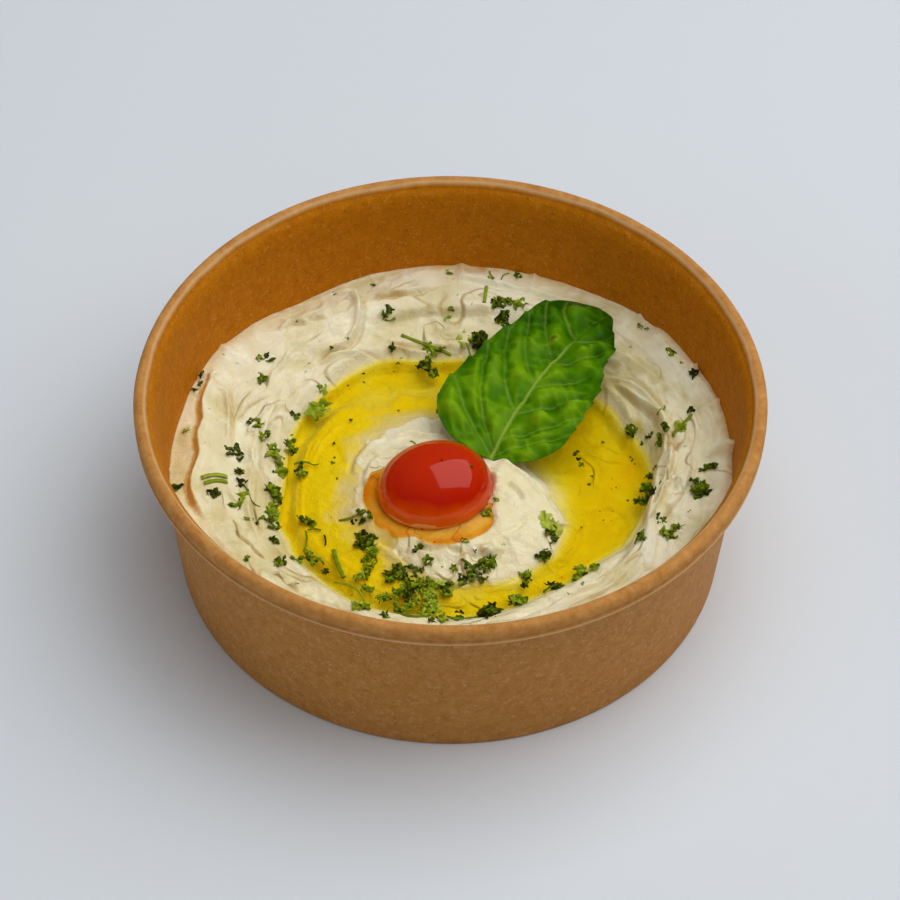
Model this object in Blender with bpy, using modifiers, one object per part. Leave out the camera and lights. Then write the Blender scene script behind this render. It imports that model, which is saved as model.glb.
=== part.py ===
"""Hummus in a round kraft paper bowl, spread with a spoon into a ring and a middle mound,
a pool of olive oil lying in the furrow between them, half a cherry tomato on the mound
and one basil leaf leaning from the mound over the oil onto the ring.

Metres, +Z up. The origin is the middle of the ring the bowl stands on."""

import math

import bmesh
import bpy
from mathutils import Matrix

MM = 0.001

# bowl: straight flaring paper wall, rolled rim, bottom disc set up inside the foot
RIM_RADIUS = 75.0 * MM
RIM_HEIGHT = 51.5 * MM
ROLL_WIDTH = 3.5 * MM
ROLL_CROWN = 2.3 * MM
ROLL_DEPTH = 4.9 * MM
FOOT_RADIUS = 65.9 * MM
WALL_FLARE = 0.0967
PAPER = 0.6 * MM
HEM_WIDTH = 1.5 * MM
HEM_HEIGHT = 6.0 * MM
GAP = 0.3 * MM
ROUND_STEPS = 72

# hummus: levels above the ground and what lies where
OIL_LEVEL = 20.0 * MM
OIL_EDGE = 0.35 * MM
FURROW_DEPTH = 2.6 * MM
SHELF_DEPTH = 0.9 * MM
CROWN_LEVEL = 25.6 * MM
LIP_LEVEL = 25.9 * MM
SEAT_LEVEL = 24.7 * MM
STEP_RADIUS = 54.0 * MM
SWIRL_PITCH = 6.4 * MM
SWIRL_DEPTH = 0.38 * MM

# outlines round the dish: (degrees, millimetres), counted from +X towards +Y
MOUND_MIDDLE = (1.0 * MM, -5.0 * MM)
MOUND_EDGE = (
    (2, 24.0), (18, 21.6), (33, 20.6), (62, 22.5), (90, 27.0), (115, 30.0), (145, 30.5),
    (180, 27.0), (202, 27.0), (225, 23.5), (250, 24.5), (270, 26.3), (294, 29.5),
    (320, 31.0), (340, 28.4),
)
POOL_MIDDLE = (2.5 * MM, 0.5 * MM)
POOL_EDGE = (
    (0, 46.4), (25, 43.6), (60, 42.0), (95, 39.6), (120, 44.0), (150, 43.4), (176, 42.1),
    (205, 45.6), (235, 46.0), (265, 43.5), (300, 40.8), (318, 40.9), (337, 44.6),
)
WALL_LINE = (
    (0, 28.0), (14, 28.8), (27, 28.0), (40, 28.6), (59, 26.4), (88, 26.3), (104, 26.0),
    (124, 24.4), (138, 26.2), (149, 27.8), (157, 26.7), (168, 24.6), (182, 24.6),
    (205, 25.2), (235, 25.6), (270, 25.4), (310, 26.0), (340, 27.2),
)
# strokes left by the spoon in the ring: degrees from, to, radius from, to, depth, half width
STROKES = (
    (152, 200, 65.4, 60.8, 1.5, 1.7),
    (153, 176, 62.6, 53.2, 1.0, 1.6),
    (196, 216, 54.2, 50.2, 0.8, 1.6),
    (110, 150, 57.6, 53.0, 0.5, 1.6),
    (84, 108, 59.5, 60.5, 0.4, 1.8),
    (348, 372, 60.0, 62.5, 0.5, 1.8),
    (312, 350, 52.6, 57.4, 0.6, 1.7),
    (236, 300, 55.0, 58.0, 0.7, 1.8),
    (28, 52, 60.5, 57.5, 0.5, 1.8),
)

# half a cherry tomato, cut face down
TOMATO_MIDDLE = (-3.5 * MM, -8.35 * MM)
TOMATO_LENGTH = 28.4 * MM
TOMATO_WIDTH = 25.0 * MM
TOMATO_HEIGHT = 11.5 * MM
TOMATO_TURN = math.radians(22.5)
TOMATO_BASE = 25.0 * MM
SEAT_EDGE = (
    (0, 14.9), (45, 14.6), (90, 13.6), (140, 14.6), (172, 16.2), (205, 16.4), (236, 16.5),
    (251, 14.2), (268, 15.8), (290, 16.1), (321, 17.4), (340, 15.0),
)

# basil leaf: midrib from the stalk end to the tip, as it lies in the dish
LEAF_FROM = (9.5 * MM, 0.6 * MM)
LEAF_BEND = (20.5 * MM, 27.3 * MM)
LEAF_TO = (39.6 * MM, 49.2 * MM)
LEAF_THICKNESS = 0.7 * MM
LEAF_LEFT = ((0.0, 19.0), (0.25, 19.0), (0.5, 17.0), (0.75, 14.5), (1.0, 11.8))
LEAF_RIGHT = ((0.0, 15.5), (0.25, 16.0), (0.5, 15.6), (0.75, 10.8), (1.0, 4.0))
LEAF_SPREAD = 18.4 * MM
LEAF_CUP = 2.4 * MM
LEAF_RISE = ((0.0, 26.9), (0.3, 29.0), (0.62, 30.0), (0.85, 29.6), (1.0, 28.0))


def smooth(value):
    """Goes from 0 to 1 with level ends."""
    value = min(max(value, 0.0), 1.0)
    return value * value * (3.0 - 2.0 * value)


def between(stops, degrees):
    """Value of a closed outline at an angle, eased from stop to stop."""
    degrees = degrees % 360.0
    for (a, va), (b, vb) in zip(stops, stops[1:] + ((stops[0][0] + 360, stops[0][1]),)):
        if a <= degrees < b:
            return (va + (vb - va) * smooth((degrees - a) / (b - a))) * MM
    a, va = stops[-1][0] - 360, stops[-1][1]
    b, vb = stops[0]
    return (va + (vb - va) * smooth((degrees - a) / (b - a))) * MM


def along(stops, part):
    """Value of an open run of stops, eased from stop to stop."""
    for (a, va), (b, vb) in zip(stops, stops[1:]):
        if part <= b:
            return (va + (vb - va) * smooth((part - a) / (b - a))) * MM
    return stops[-1][1] * MM


def outline_point(middle, stops, degrees):
    radius = between(stops, degrees)
    angle = math.radians(degrees)
    return (middle[0] + radius * math.cos(angle), middle[1] + radius * math.sin(angle))


def inner_wall(height):
    """Inside radius of the paper wall."""
    return FOOT_RADIUS - PAPER + WALL_FLARE * height


def material(name, colour, roughness):
    """A plain finish for one sub-part."""
    finish = bpy.data.materials.new(name)
    finish.use_nodes = True
    shader = finish.node_tree.nodes["Principled BSDF"]
    shader.inputs["Base Color"].default_value = (*colour, 1.0)
    shader.inputs["Roughness"].default_value = roughness
    return finish


def add_piece(name, mesh, finish):
    """Puts a mesh in the scene as one smooth-shaded piece."""
    mesh.materials.append(finish)
    mesh.shade_smooth()
    mesh.set_sharp_from_angle(angle=math.radians(50.0))
    piece = bpy.data.objects.new(name, mesh)
    bpy.data.collections["hummus_bowl"].objects.link(piece)
    return piece


def add_mesh(name, points, edges, faces, finish):
    mesh = bpy.data.meshes.new(name)
    mesh.from_pydata(points, edges, faces)
    mesh.update()
    return add_piece(name, mesh, finish)


def turned(name, profile, closed, finish):
    """Turns a profile of (radius, height) once round the middle."""
    points = [(radius, 0.0, height) for radius, height in profile]
    edges = [(i, i + 1) for i in range(len(points) - 1)]
    if closed:
        edges.append((len(points) - 1, 0))
    piece = add_mesh(name, points, edges, [], finish)
    screw = piece.modifiers.new("turn", "SCREW")
    screw.angle = math.tau
    screw.steps = ROUND_STEPS
    screw.render_steps = ROUND_STEPS
    screw.use_merge_vertices = True
    screw.merge_threshold = 0.00001
    screw.use_smooth_shade = True
    return piece


def wall_profile():
    """Paper wall with its rolled rim above and folded foot below, outer side first."""
    half = ROLL_WIDTH / 2
    middle = RIM_RADIUS - half
    crown = RIM_HEIGHT - ROLL_CROWN
    low = RIM_HEIGHT - ROLL_DEPTH
    points = []
    for degrees in (90, 60, 30, 0):
        angle = math.radians(degrees)
        points.append((middle + half * math.cos(angle), crown + ROLL_CROWN * math.sin(angle)))
    points.append((RIM_RADIUS - 0.45 * MM, low + 1.0 * MM))
    points.append((RIM_RADIUS - 0.25 * MM, low + 0.6 * MM))
    points.append((RIM_RADIUS - 0.85 * MM, low))
    points.append((FOOT_RADIUS + WALL_FLARE * low + 0.9 * MM, low))
    points.append((FOOT_RADIUS + WALL_FLARE * low, low - 0.7 * MM))
    points.append((FOOT_RADIUS + WALL_FLARE * 1.1 * MM, 1.1 * MM))
    points.append((FOOT_RADIUS - 0.2 * MM, 0.3 * MM))
    points.append((FOOT_RADIUS - 0.5 * MM, 0.0))
    points.append((FOOT_RADIUS - HEM_WIDTH + 0.4 * MM, 0.0))
    points.append((FOOT_RADIUS - HEM_WIDTH, 0.7 * MM))
    points.append((FOOT_RADIUS - HEM_WIDTH + WALL_FLARE * HEM_HEIGHT, HEM_HEIGHT))
    points.append((inner_wall(HEM_HEIGHT), HEM_HEIGHT))
    points.append((inner_wall(low - 0.4 * MM), low - 0.4 * MM))
    points.append((inner_wall(low) + 0.35 * MM, low + 1.6 * MM))
    points.append((middle - half * 0.85, crown + ROLL_CROWN * 0.55))
    return points


def disc_profile():
    """Bottom disc resting on the folded foot."""
    low = HEM_HEIGHT + GAP
    high = low + PAPER
    edge = inner_wall(low) - GAP
    return [
        (0.0, high), (edge - 0.3 * MM, high), (edge, high - 0.2 * MM),
        (edge, low + 0.1 * MM), (edge - 0.2 * MM, low), (0.0, low),
    ]


def stroke_depth(x, y):
    """How far the spoon strokes cut into the ring at a place."""
    radius = math.hypot(x, y)
    degrees = math.degrees(math.atan2(y, x)) % 360.0
    depth = 0.0
    for start, end, from_radius, to_radius, deep, wide in STROKES:
        turn = degrees + 360.0 if degrees < start - 1.0 else degrees
        part = (turn - start) / (end - start)
        if 0.0 < part < 1.0:
            off = (radius / MM - from_radius - (to_radius - from_radius) * part) / wide
            depth += deep * smooth(4.0 * min(part, 1.0 - part)) * math.exp(-off * off)
    return depth * MM


def bed(degrees, part, x, y):
    """Height of the hummus. part runs 0-1 over the seat, 1-2 down the mound,
    2-3 across the oil and 3-4 up the ring to the paper wall."""
    edge = OIL_LEVEL - 2 * OIL_EDGE
    left = smooth(0.5 - 0.5 * math.cos(math.radians(degrees - 330.0)))
    if part <= 1.0:
        return SEAT_LEVEL
    if part <= 2.0:
        run = part - 1.0
        fall = run ** (3.4 - 1.7 * left)
        lip = LIP_LEVEL - 0.9 * MM * left
        lip -= (lip - SEAT_LEVEL) * (1.0 - smooth(run / 0.14))
        return lip + (edge - lip) * fall
    if part <= 3.0:
        run = part - 2.0
        shelf = SHELF_DEPTH * left * smooth(run * 4.0) * (1.0 - smooth(run * 2.0 - 0.3))
        furrow = FURROW_DEPTH * smooth(run * (3.2 - 1.5 * left)) if left < 0.5 else 0.0
        furrow = max(furrow, FURROW_DEPTH * smooth((run - 0.28 * left) * 2.6))
        return edge - max(shelf, furrow * smooth((1.0 - run) * 4.2))
    radius = math.hypot(x, y)
    pool = outline_point(POOL_MIDDLE, POOL_EDGE, degrees)
    away = radius - math.hypot(*pool)
    bank = edge + 2.5 * MM * smooth(away / (3.6 * MM)) + 0.05 * away
    crown = CROWN_LEVEL - bank
    high = bank + crown * smooth((radius - STEP_RADIUS + 3.4 * MM) / (7.0 * MM))
    wall = between(WALL_LINE, degrees)
    high += (wall - high) * smooth((radius - 59.5 * MM) / (8.0 * MM))
    swirl = math.sin(math.tau * (radius / SWIRL_PITCH + degrees / 360.0))
    band = smooth(away / (4.0 * MM)) * smooth((67.0 * MM - radius) / (3.0 * MM))
    return high + band * (SWIRL_DEPTH * swirl - stroke_depth(x, y))


def place(degrees, part):
    """Point on the hummus between the seat, mound, oil and wall outlines."""
    seat = outline_point(TOMATO_MIDDLE, SEAT_EDGE, degrees)
    mound = outline_point(MOUND_MIDDLE, MOUND_EDGE, degrees)
    pool = outline_point(POOL_MIDDLE, POOL_EDGE, degrees)
    reach = inner_wall(between(WALL_LINE, degrees)) - GAP
    angle = math.radians(degrees)
    wall = (reach * math.cos(angle), reach * math.sin(angle))
    outlines = (TOMATO_MIDDLE, seat, mound, pool, wall)
    step = min(int(part), 3)
    run = part - step
    x = outlines[step][0] + (outlines[step + 1][0] - outlines[step][0]) * run
    y = outlines[step][1] + (outlines[step + 1][1] - outlines[step][1]) * run
    return x, y, bed(degrees, part, x, y)


def rings():
    """Where the rings of the hummus lie, from the seat out to the wall."""
    parts = [0.62, 1.0, 1.14, 1.4, 1.66, 1.87]
    parts += [2.0 + i / 5 for i in range(6)]
    parts += [3.0 + i / 10 for i in range(1, 11)]
    return parts


def ring_faces(first, second):
    """Triangles between two rings of points, turned so that they face up."""
    faces = []
    count = ROUND_STEPS
    for i in range(count):
        j = (i + 1) % count
        faces.append((first + i, second + i, second + j))
        faces.append((first + i, second + j, first + j))
    return faces


def build_hummus(finish):
    count = ROUND_STEPS
    parts = rings()
    points = []
    faces = []
    for part in parts:
        for i in range(count):
            points.append(place(i * 360.0 / count, part))
    for ring in range(len(parts) - 1):
        faces += ring_faces(ring * count, (ring + 1) * count)
    low = HEM_HEIGHT + PAPER + 2 * GAP
    side = len(points)
    reach = inner_wall(low) - GAP
    for i in range(count):
        angle = math.tau * i / count
        points.append((reach * math.cos(angle), reach * math.sin(angle), low))
    faces += ring_faces(side - count, side)
    top = len(points)
    points.append((*TOMATO_MIDDLE, SEAT_LEVEL))
    points.append((0.0, 0.0, low))
    for i in range(count):
        j = (i + 1) % count
        faces.append((top, i, j))
        faces.append((top + 1, side + j, side + i))
    return add_mesh("hummus", points, [], faces, finish)


def build_oil(finish):
    """Level pool whose underside follows the furrow it lies in."""
    count = ROUND_STEPS
    parts = [part for part in rings() if 2.0 <= part <= 3.0]
    points = []
    faces = []
    for part in parts:
        for i in range(count):
            x, y, _ = place(i * 360.0 / count, part)
            points.append((x, y, OIL_LEVEL))
    for part in parts:
        for i in range(count):
            x, y, z = place(i * 360.0 / count, part)
            points.append((x, y, z + OIL_EDGE))
    under = len(parts) * count
    for ring in range(len(parts) - 1):
        faces += ring_faces(ring * count, (ring + 1) * count)
        lower = ring_faces(under + ring * count, under + (ring + 1) * count)
        faces += [tuple(reversed(face)) for face in lower]
    faces += [tuple(reversed(face)) for face in ring_faces(0, under)]
    faces += ring_faces(under - count, under + (len(parts) - 1) * count)
    return add_mesh("olive_oil", points, [], faces, finish)


def build_tomato(finish):
    """Upper half of a stretched ball, closed by its flat cut face."""
    shape = bmesh.new()
    bmesh.ops.create_uvsphere(shape, u_segments=32, v_segments=16, radius=1.0)
    below = [vertex for vertex in shape.verts if vertex.co.z < -0.01]
    bmesh.ops.delete(shape, geom=below, context="VERTS")
    rim = [edge for edge in shape.edges if edge.is_boundary]
    bmesh.ops.contextual_create(shape, geom=rim)
    size = (TOMATO_LENGTH / 2, TOMATO_WIDTH / 2, TOMATO_HEIGHT, 1.0)
    bmesh.ops.transform(shape, matrix=Matrix.Diagonal(size), verts=shape.verts)
    bmesh.ops.recalc_face_normals(shape, faces=shape.faces)
    mesh = bpy.data.meshes.new("tomato_half")
    shape.to_mesh(mesh)
    shape.free()
    piece = add_piece("tomato_half", mesh, finish)
    piece.location = (*TOMATO_MIDDLE, TOMATO_BASE)
    piece.rotation_euler = (0.0, 0.0, TOMATO_TURN)
    return piece


def leaf_half_width(part, side):
    """Half width of the blade: rounded at the stalk end, blunt at the tip."""
    stalk = math.sqrt(1.0 - (1.0 - min(part / 0.22, 1.0)) ** 2)
    tip = math.sqrt(1.0 - max(0.0, (part - 0.8) / 0.2) ** 2.4)
    return along(LEAF_LEFT if side > 0 else LEAF_RIGHT, part) * stalk * tip


def leaf_point(part, across):
    """Middle of the blade. across runs from -1 at the right edge to 1 at the left."""
    a = (1.0 - part) ** 2
    b = 2.0 * part * (1.0 - part)
    c = part * part
    x = a * LEAF_FROM[0] + b * LEAF_BEND[0] + c * LEAF_TO[0]
    y = a * LEAF_FROM[1] + b * LEAF_BEND[1] + c * LEAF_TO[1]
    dx = 2.0 * (1.0 - part) * (LEAF_BEND[0] - LEAF_FROM[0])
    dx += 2.0 * part * (LEAF_TO[0] - LEAF_BEND[0])
    dy = 2.0 * (1.0 - part) * (LEAF_BEND[1] - LEAF_FROM[1])
    dy += 2.0 * part * (LEAF_TO[1] - LEAF_BEND[1])
    length = math.hypot(dx, dy)
    side = math.copysign(1.0, across)
    out = across * leaf_half_width(part, side)
    cup = LEAF_CUP * (abs(out) / LEAF_SPREAD) ** 1.4
    x -= dy / length * out
    y += dx / length * out
    return x, y, along(LEAF_RISE, part) + cup


def build_leaf(finish):
    """Thin cupped blade, an open surface made solid."""
    rows = [0.004 + 0.992 * (0.5 - 0.5 * math.cos(math.pi * i / 14)) for i in range(15)]
    columns = [-1.0, -0.72, -0.4, 0.0, 0.4, 0.72, 1.0]
    points = [leaf_point(part, across) for part in rows for across in columns]
    wide = len(columns)
    faces = []
    for row in range(len(rows) - 1):
        for column in range(wide - 1):
            a = row * wide + column
            faces.append((a, a + wide, a + wide + 1, a + 1))
    piece = add_mesh("basil_leaf", points, [], faces, finish)
    solid = piece.modifiers.new("blade", "SOLIDIFY")
    solid.thickness = LEAF_THICKNESS
    solid.offset = 0.0
    return piece


def build():
    for old in list(bpy.data.objects):
        bpy.data.objects.remove(old)
    collection = bpy.data.collections.new("hummus_bowl")
    bpy.context.scene.collection.children.link(collection)
    kraft = material("kraft_paper", (0.46, 0.26, 0.10), 0.6)
    cream = material("hummus_cream", (0.84, 0.76, 0.55), 0.5)
    oil = material("oil_yellow", (0.70, 0.52, 0.03), 0.08)
    red = material("tomato_red", (0.52, 0.03, 0.01), 0.15)
    green = material("basil_green", (0.08, 0.22, 0.01), 0.4)
    turned("bowl_wall", wall_profile(), True, kraft)
    turned("bowl_base", disc_profile(), False, kraft)
    build_hummus(cream)
    build_oil(oil)
    build_tomato(red)
    build_leaf(green)


build()
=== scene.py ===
"""Hummus in a round kraft paper bowl: the looks.

The hummus is spread with a spoon into a ring and a middle mound, olive oil lies in the furrow
between them, half a cherry tomato sits in its juice on the mound, one basil leaf leans from
the mound onto the ring, and chopped herbs are strewn over it all.

Metres, +Z up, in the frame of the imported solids."""

import math

import bpy
import numpy as np
from mathutils import Euler, Matrix, Vector
from mathutils.bvhtree import BVHTree


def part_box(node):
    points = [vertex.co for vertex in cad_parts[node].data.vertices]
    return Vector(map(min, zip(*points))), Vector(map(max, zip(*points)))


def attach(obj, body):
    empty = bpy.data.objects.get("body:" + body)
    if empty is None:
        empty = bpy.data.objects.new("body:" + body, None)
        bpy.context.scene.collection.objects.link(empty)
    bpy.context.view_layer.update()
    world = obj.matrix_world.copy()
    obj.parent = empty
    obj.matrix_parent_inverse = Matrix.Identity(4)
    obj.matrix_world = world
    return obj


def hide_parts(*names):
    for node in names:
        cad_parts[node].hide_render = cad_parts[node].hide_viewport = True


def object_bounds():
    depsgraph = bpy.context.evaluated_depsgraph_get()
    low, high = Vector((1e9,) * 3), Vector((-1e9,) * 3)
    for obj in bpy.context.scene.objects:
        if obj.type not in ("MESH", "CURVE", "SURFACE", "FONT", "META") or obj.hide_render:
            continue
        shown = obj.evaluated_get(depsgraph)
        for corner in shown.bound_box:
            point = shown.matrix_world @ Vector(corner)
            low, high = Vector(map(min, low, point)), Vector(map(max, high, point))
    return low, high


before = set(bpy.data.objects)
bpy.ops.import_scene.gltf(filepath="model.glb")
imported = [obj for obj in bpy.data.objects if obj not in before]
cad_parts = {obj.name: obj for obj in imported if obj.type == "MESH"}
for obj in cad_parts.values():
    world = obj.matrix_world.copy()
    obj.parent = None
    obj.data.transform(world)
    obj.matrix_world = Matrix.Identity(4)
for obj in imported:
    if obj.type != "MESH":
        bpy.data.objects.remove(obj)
cad_low, cad_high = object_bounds()

MM = 0.001

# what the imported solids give
RIM_RADIUS = cad_high.x
RIM_HEIGHT = cad_high.z
OIL_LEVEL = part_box("olive_oil")[1].z
TOMATO_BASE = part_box("tomato_half")[0].z
TOMATO_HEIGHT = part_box("tomato_half")[1].z - TOMATO_BASE
HUMMUS_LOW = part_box("hummus")[0].z

# bowl, as in the solids
ROLL_WIDTH = 3.5 * MM
ROLL_CROWN = 2.3 * MM
ROLL_DEPTH = 4.9 * MM
FOOT_RADIUS = 65.9 * MM
WALL_FLARE = 0.0967
PAPER = 0.6 * MM
HEM_WIDTH = 1.5 * MM
HEM_HEIGHT = 6.0 * MM
WALL_STEPS = 256

# hummus levels, as in the solids
OIL_EDGE = 0.35 * MM
FURROW_DEPTH = 2.6 * MM
SHELF_DEPTH = 0.5 * MM
CROWN_LEVEL = 25.6 * MM
LIP_LEVEL = 25.9 * MM
SEAT_LEVEL = 24.7 * MM
STEP_RADIUS = 54.0 * MM

# how gently the mound runs out under the oil at each angle, 0 steep to 1 gentle
GENTLE = ((0, 0.0), (60, 0.2), (100, 0.8), (150, 1.0), (205, 1.0), (240, 1.0), (270, 0.95),
          (292, 0.75), (315, 0.3), (338, 0.0))

# outlines round the dish: (degrees, millimetres) from +X towards +Y
MOUND_MIDDLE = (1.0 * MM, -5.0 * MM)
MOUND_EDGE = (
    (2, 24.0), (18, 21.6), (33, 20.6), (62, 23.5), (90, 29.0), (115, 33.5), (145, 36.0),
    (180, 36.5), (202, 36.0), (225, 32.0), (250, 29.5), (270, 29.0), (294, 30.5),
    (320, 31.0), (340, 28.4),
)
# inside this the mound is bare; outside it a film of oil lies on its gentle side
BARE_EDGE = ((0, 60.0), (50, 60.0), (76, 27.5), (100, 25.0), (118, 26.5), (140, 25.0),
             (160, 22.5), (180, 23.5), (205, 24.0), (225, 22.0), (245, 23.0), (265, 24.5),
             (285, 27.5), (305, 60.0))
POOL_MIDDLE = (2.5 * MM, 0.5 * MM)
POOL_EDGE = (
    (0, 46.4), (25, 43.6), (60, 42.0), (95, 39.6), (120, 44.0), (150, 43.4), (176, 42.1),
    (205, 45.6), (235, 46.0), (265, 43.5), (300, 40.8), (318, 40.9), (337, 44.6),
)
WALL_LINE = (
    (0, 28.0), (14, 28.8), (27, 28.0), (40, 28.6), (59, 26.4), (88, 26.3), (104, 26.0),
    (124, 24.4), (138, 26.2), (149, 27.8), (157, 26.7), (168, 24.6), (182, 24.6),
    (205, 25.2), (235, 25.6), (270, 25.4), (310, 26.0), (340, 27.2),
)
TOMATO_MIDDLE = (-3.5 * MM, -8.35 * MM)
TOMATO_LENGTH = 28.4 * MM
TOMATO_WIDTH = 25.0 * MM
TOMATO_TURN = math.radians(22.5)

# where the hummus starts round the tomato: it touches the fruit on the right and behind
SEAT_EDGE = (
    (0, 13.2), (45, 12.6), (90, 12.2), (140, 13.4), (165, 15.4), (178, 16.3), (205, 16.4),
    (236, 16.5), (251, 14.2), (268, 15.8), (290, 16.1), (321, 16.8), (338, 14.0),
)

# how finely the hummus is made
AROUND = 640
SEAT_RINGS = 5
MOUND_RINGS = 34
FURROW_RINGS = 28
RING_RINGS = 83

# creases the spoon left: line of (degrees, millimetres from the middle), half width, depth,
# height of the lip, side of the lip (1 left of the line, -1 right), how far oil stains it
CREASES = (
    (((152, 66.9), (157, 65.0), (163, 64.3), (168, 62.4), (173, 62.5), (179, 61.3), (184, 62.8),
      (189, 63.5), (194, 62.6), (200, 61.0)), 0.72, 0.12, 0.9, 1, 1.5),
    (((154, 62.0), (154.5, 64.0), (156, 63.3), (157, 59.3), (162, 56.2), (168, 54.3),
      (174, 53.0)), 0.50, 0.6, 0.7, -1, 0.6),
    (((198, 55.0), (201, 54.2), (204, 54.9), (207, 53.4), (210, 53.2), (215, 51.4)), 0.18, 0.5, 0.5, 1, 0.9),
    (((134, 60.6), (131, 61.6), (129, 61.2), (127, 59.2)), 0.50, 0.8, 0.8, 1, 0.25),
    (((126, 59.6), (124, 59.4), (122.5, 58.0)), 0.45, 0.6, 0.6, 1, 0.15),
    (((117, 61.0), (115, 62.4), (112.5, 61.6), (112.5, 58.6), (114, 54.8), (118, 50.8),
      (124, 49.2), (131, 50.6)), 0.65, 1.1, 1.3, -1, 0.2),
    (((133, 50.2), (124, 48.8), (119, 47.2), (114, 43.8), (108, 41.1), (101, 39.2)),
     0.60, 0.9, 0.9, -1, 0.35),
    (((112, 46.5), (108, 46.2), (102, 44.1), (95, 42.9), (88, 42.6)), 0.8, 1.0, 0.9, -1, 0.5),
    (((128, 66.6), (125, 67.0), (121, 65.7), (117, 65.3), (112, 64.8)), 0.35, 0.5, 0.4, 1, 0.2),
    (((76, 54.0), (86, 53.2), (95, 53.4), (104, 53.0), (109, 52.0)), 0.9, 0.3, 0.6, -1, 0.1),
    (((47, 57.0), (38, 58.6), (28, 60.2), (18, 62.2), (6, 62.8)), 0.9, 0.5, 0.7, -1, 0.0),
    (((30, 64.8), (20, 66.2), (10, 66.5)), 0.7, 0.5, 0.3, 1, 0.0),
    (((44, 51.4), (36, 53.0), (30, 54.6), (21, 55.0), (9, 55.0), (0, 54.2), (-6, 52.6),
      (-14, 52.8)), 0.8, 0.7, 1.0, -1, 0.1),
    (((-20, 53.6), (-12, 56.4), (-2, 58.6), (8, 59.0)), 0.7, 0.5, 0.4, 1, 0.0),
    (((236, 49.8), (246, 50.6), (256, 50.4), (270, 52.6), (282, 54.2)), 0.7, 0.5, 0.4, -1, 0.0),
    (((178, 46.8), (186, 47.6), (196, 48.8), (206, 49.6)), 0.7, 0.45, 0.4, -1, 0.1),
    (((150, 49.6), (160, 47.8), (170, 47.4), (180, 46.6)), 0.8, 0.5, 0.4, -1, 0.0),
    (((60, 62.6), (70, 61.4), (82, 61.8), (92, 63.2)), 0.8, 0.4, 0.4, -1, 0.0),
    (((-24, 49.8), (-14, 50.6), (-8, 51.6), (-5, 54.6), (-9, 57.4)), 0.55, 0.9, 1.4, -1, 0.1),
    (((2, 50.6), (8, 51.8), (14, 52.6), (22, 52.2), (30, 50.8), (38, 49.6)), 0.5, 0.8, 0.9, -1, 0.3),
    (((296, 48.6), (304, 49.6), (312, 50.6), (322, 50.8), (331, 52.4)), 0.45, 0.7, 0.6, -1, 0.0),
    (((298, 54.4), (306, 53.6), (314, 54.6), (324, 54.2)), 0.45, 0.6, 0.5, 1, 0.0),
    (((94, 60.2), (100, 58.8), (106, 59.4), (110, 57.8)), 0.45, 0.8, 0.7, -1, 0.35),
    (((136, 56.4), (140, 54.8), (146, 54.2), (150, 52.6)), 0.45, 0.7, 0.7, 1, 0.3),
)

# creases and folds in the mound: line of (x, y) millimetres, then as above
MOUND_CREASES = (
    (((11.0, 3.4), (15.0, 0.4), (19.6, -2.6), (23.0, -7.4), (26.6, -13.0)), 0.8, 0.3, 0.9, -1),
    (((-8.6, -23.6), (-5.0, -25.4), (-1.0, -25.0), (3.6, -26.8)), 0.7, 0.7, 0.5, 1),
    (((5.4, -27.8), (8.0, -26.4), (10.6, -27.2), (13.0, -25.4)), 0.6, 0.9, 0.5, 1),
    (((12.4, -22.0), (16.0, -20.0), (18.4, -16.4)), 0.8, 0.5, 0.4, -1),
    (((-19.4, -9.0), (-21.0, -4.4), (-20.4, 0.6), (-17.6, 5.4)), 0.8, 0.5, 0.7, -1),
    (((-14.0, 10.4), (-9.4, 11.8), (-4.6, 10.4), (-1.0, 11.6)), 0.7, 0.6, 0.6, 1),
    (((-24.0, -2.0), (-23.6, 4.0), (-21.0, 9.4), (-16.0, 13.0)), 0.7, 0.4, 0.5, -1),
    (((13.4, -6.4), (16.2, -8.6), (17.4, -12.2)), 0.7, 0.5, 0.4, 1),
    (((-17.0, -22.6), (-13.0, -25.0), (-8.6, -29.0)), 0.8, 0.5, 0.5, -1),
)

# dabs of hummus raised above the rest, and dents: (x, y, radius, height) in millimetres
DABS = (
    (-39.4, -34.2, 1.5, 2.6), (-35.6, -37.4, 1.7, 2.8), (-33.0, -41.2, 1.4, 1.3),
    (10.9, -5.0, 1.5, 1.7), (11.4, -8.2, 1.2, 1.3), (12.6, -1.2, 2.0, 0.9), (9.6, 1.8, 1.4, 1.0),
    (-8.2, -23.4, 1.7, 0.9), (26.0, -13.4, 2.2, 0.7), (7.4, -27.0, 1.4, -0.7),
    (10.4, -25.4, 1.3, 0.6), (-21.6, -14.6, 1.8, 0.7), (46.8, 46.8, 2.9, -1.1),
    (49.6, 44.8, 2.0, -0.8), (-24.6, 56.0, 1.8, 0.8), (-13.6, 55.6, 1.8, -0.5),
    (-24.6, 49.0, 2.2, -0.5), (36.0, 13.4, 1.4, 0.8), (-60.6, 26.0, 1.6, 0.9),
)

# how much of the ring is drawn out in streaks, and how much lies in steps, by angle
STREAKED = ((0, 0.7), (30, 0.9), (60, 0.5), (90, 0.2), (125, 0.45), (150, 0.15), (200, 0.15),
            (235, 0.35), (262, 0.8), (300, 1.0), (335, 0.8))
STEPPED = ((0, 1.0), (30, 0.6), (60, 0.2), (95, 0.1), (130, 0.4), (160, 0.3), (210, 0.2),
           (260, 0.3), (320, 0.6), (345, 1.0))

# a thin skin line left standing in the pool on the right: (degrees, millimetres)
SKIN_LINE = ((343, 31.0), (350, 36.0), (351, 40.0), (347, 43.6), (341, 45.0), (336, 43.6))

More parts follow.
